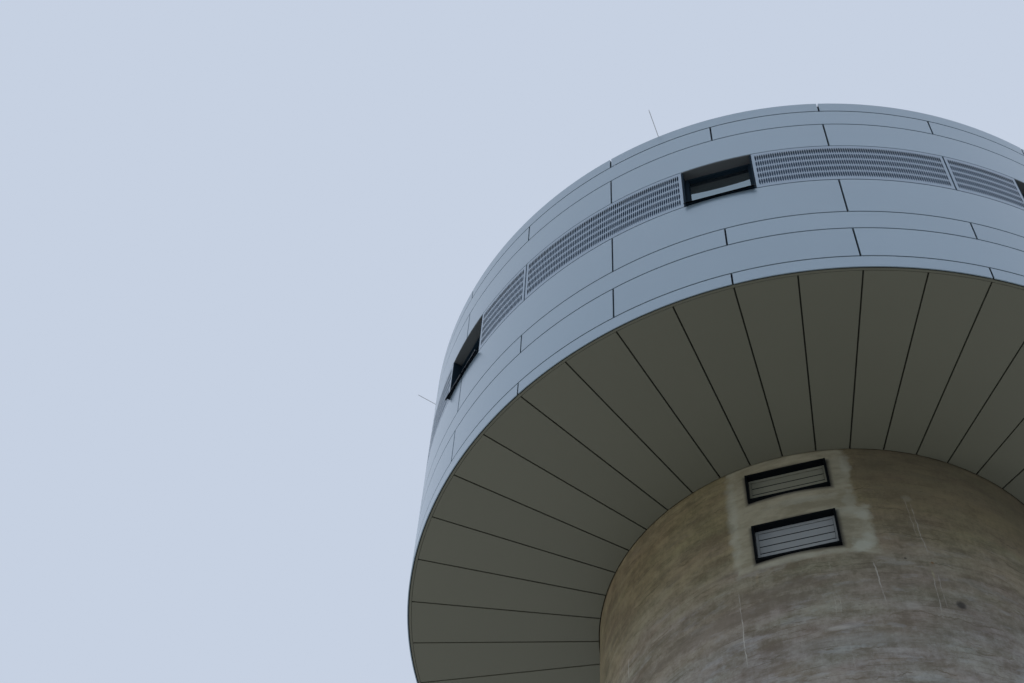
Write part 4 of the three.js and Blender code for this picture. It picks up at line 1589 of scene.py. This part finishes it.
@dataclass(frozen=True)
class Studio:
    """A pale even sky, a pale floor, one high, wide, soft lamp and a low one that no gloss mirrors."""

    sky: Colour = (0.565, 0.636, 0.760)
    sky_strength: float = 1.0
    floor: Colour = (0.46, 0.46, 0.44)
    floor_size: float = 400.0
    floor_drop: float = 0.002
    lamp_strength: float = 2.0
    lamp_colour: Colour = (1.0, 0.985, 0.96)
    lamp_spread: float = 50.0
    lamp_angle: float = 20.0
    lamp_height: float = 74.0
    low_power: float = 950.0
    low_size: float = 8.0
    low_distance: float = 45.0
    low_angle: float = -60.0
    low_height: float = 10.0
    low_spread: float = 100.0

    def make_sky(self) -> None:
        """An even sky."""
        world = bpy.data.worlds.new("pale_sky")
        bpy.context.scene.world = world
        world.use_nodes = True
        world.node_tree.nodes.clear()
        graph = Graph(world.node_tree)
        colour = (*self.sky, 1.0)
        sky = graph.plain("ShaderNodeBackground", Color=colour, Strength=self.sky_strength)
        graph.plain("ShaderNodeOutputWorld", Surface=sky["Background"])

    def make_floor(self) -> None:
        """A slightly mottled floor just below the tower's foot."""
        half = self.floor_size / 2
        stops = ((-half, -half), (half, -half), (half, half), (-half, half))
        corners = [Vector((x, y, -self.floor_drop)) for x, y in stops]
        floor = linked("floor", Draft().add(corners, [(0, 1, 2, 3)]).mesh("floor"))
        material, graph, place = new_material("pale_floor")
        mottle = graph.noise(place, 0.2, 3.0)
        colour = graph.mix(mottle, self.floor, tuple(c * 0.96 for c in self.floor))
        graph.surface(Base_Color=colour, Roughness=0.9)
        floor.data.materials.append(material)

    def lamp(self, name: str, kind: str, source: Vector, target: Vector, **settings: Any) -> bpy.types.Object:
        """A lamp at a source, or as if from there, that points at a target and shows in no mirror."""
        data = bpy.data.lights.new(name, kind)
        for setting, value in settings.items():
            setattr(data, setting, value)
        made = linked(name, data)
        made.rotation_euler = (target - source).to_track_quat("-Z", "Y").to_euler()
        made.visible_glossy = False
        return made

    def build(self) -> None:
        """Makes the sky, the floor and the lamps."""
        self.make_sky()
        self.make_floor()
        height, spread = math.radians(self.lamp_height), math.radians(self.lamp_spread)
        source = polar(math.cos(height), self.lamp_angle, math.sin(height))
        sun = {"energy": self.lamp_strength, "angle": spread, "color": self.lamp_colour}
        self.lamp("soft_lamp", "SUN", source, Vector(), **sun)
        source = polar(self.low_distance, self.low_angle, self.low_height)
        target = Vector((0.0, 0.0, heights("soffit_panels")[0]))
        area = {"energy": self.low_power, "size": self.low_size, "spread": math.radians(self.low_spread)}
        low_lamp = self.lamp("low_lamp", "AREA", source, target, **area)
        low_lamp.location = source
        low_lamp.visible_camera = False
        bpy.context.scene.view_settings.view_transform = "Standard"


def dress_kept_nodes(finish: Material) -> None:
    """Gives the CAD nodes that stay in view their finish."""
    slabs = ("drum_base_slab", "upper_floor_slab", "ground_floor_slab")
    for node in (*(f"drum_wall_{side}" for side in SIDES), *slabs):
        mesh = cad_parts[node].data
        mesh.materials.clear()
        mesh.materials.append(finish)


def main() -> None:
    """Builds the tower, the camera and the studio."""
    logging.basicConfig(level=logging.INFO, format="%(name)s: %(message)s")
    sizes = Measures.from_frame()
    finishes = Finishes.for_tower(sizes)
    ViewPoint().build()
    Studio().build()
    Shaft(sizes, finishes).build()
    Cladding(sizes, finishes).build()
    Soffit(sizes, finishes).build()
    window_pitch, panel_pitch = FULL_TURN / WINDOWS, FULL_TURN / PANELS
    edge = subtended(WINDOW_HALF + 0.008, sizes.drum_radius)
    for i in range(WINDOWS):
        turn = i * window_pitch
        DrumWindow(sizes, finishes, i + 1, turn).build()
        split = math.ceil((turn + edge) / panel_pitch) * panel_pitch
        VentGrille(sizes, finishes, i + 1, turn + edge, turn + window_pitch - edge, split).build()
    ShaftWindow(finishes, "upper_shaft", finishes.high_louvre, 2).build()
    ShaftWindow(finishes, "lower_shaft", finishes.louvre, 3).build()
    Roof(sizes, finishes).build()
    LightningRods(sizes, finishes).build()
    Entrance(finishes).build()
    dress_kept_nodes(finishes.inner_concrete)


if __name__ == "__main__":
    main()
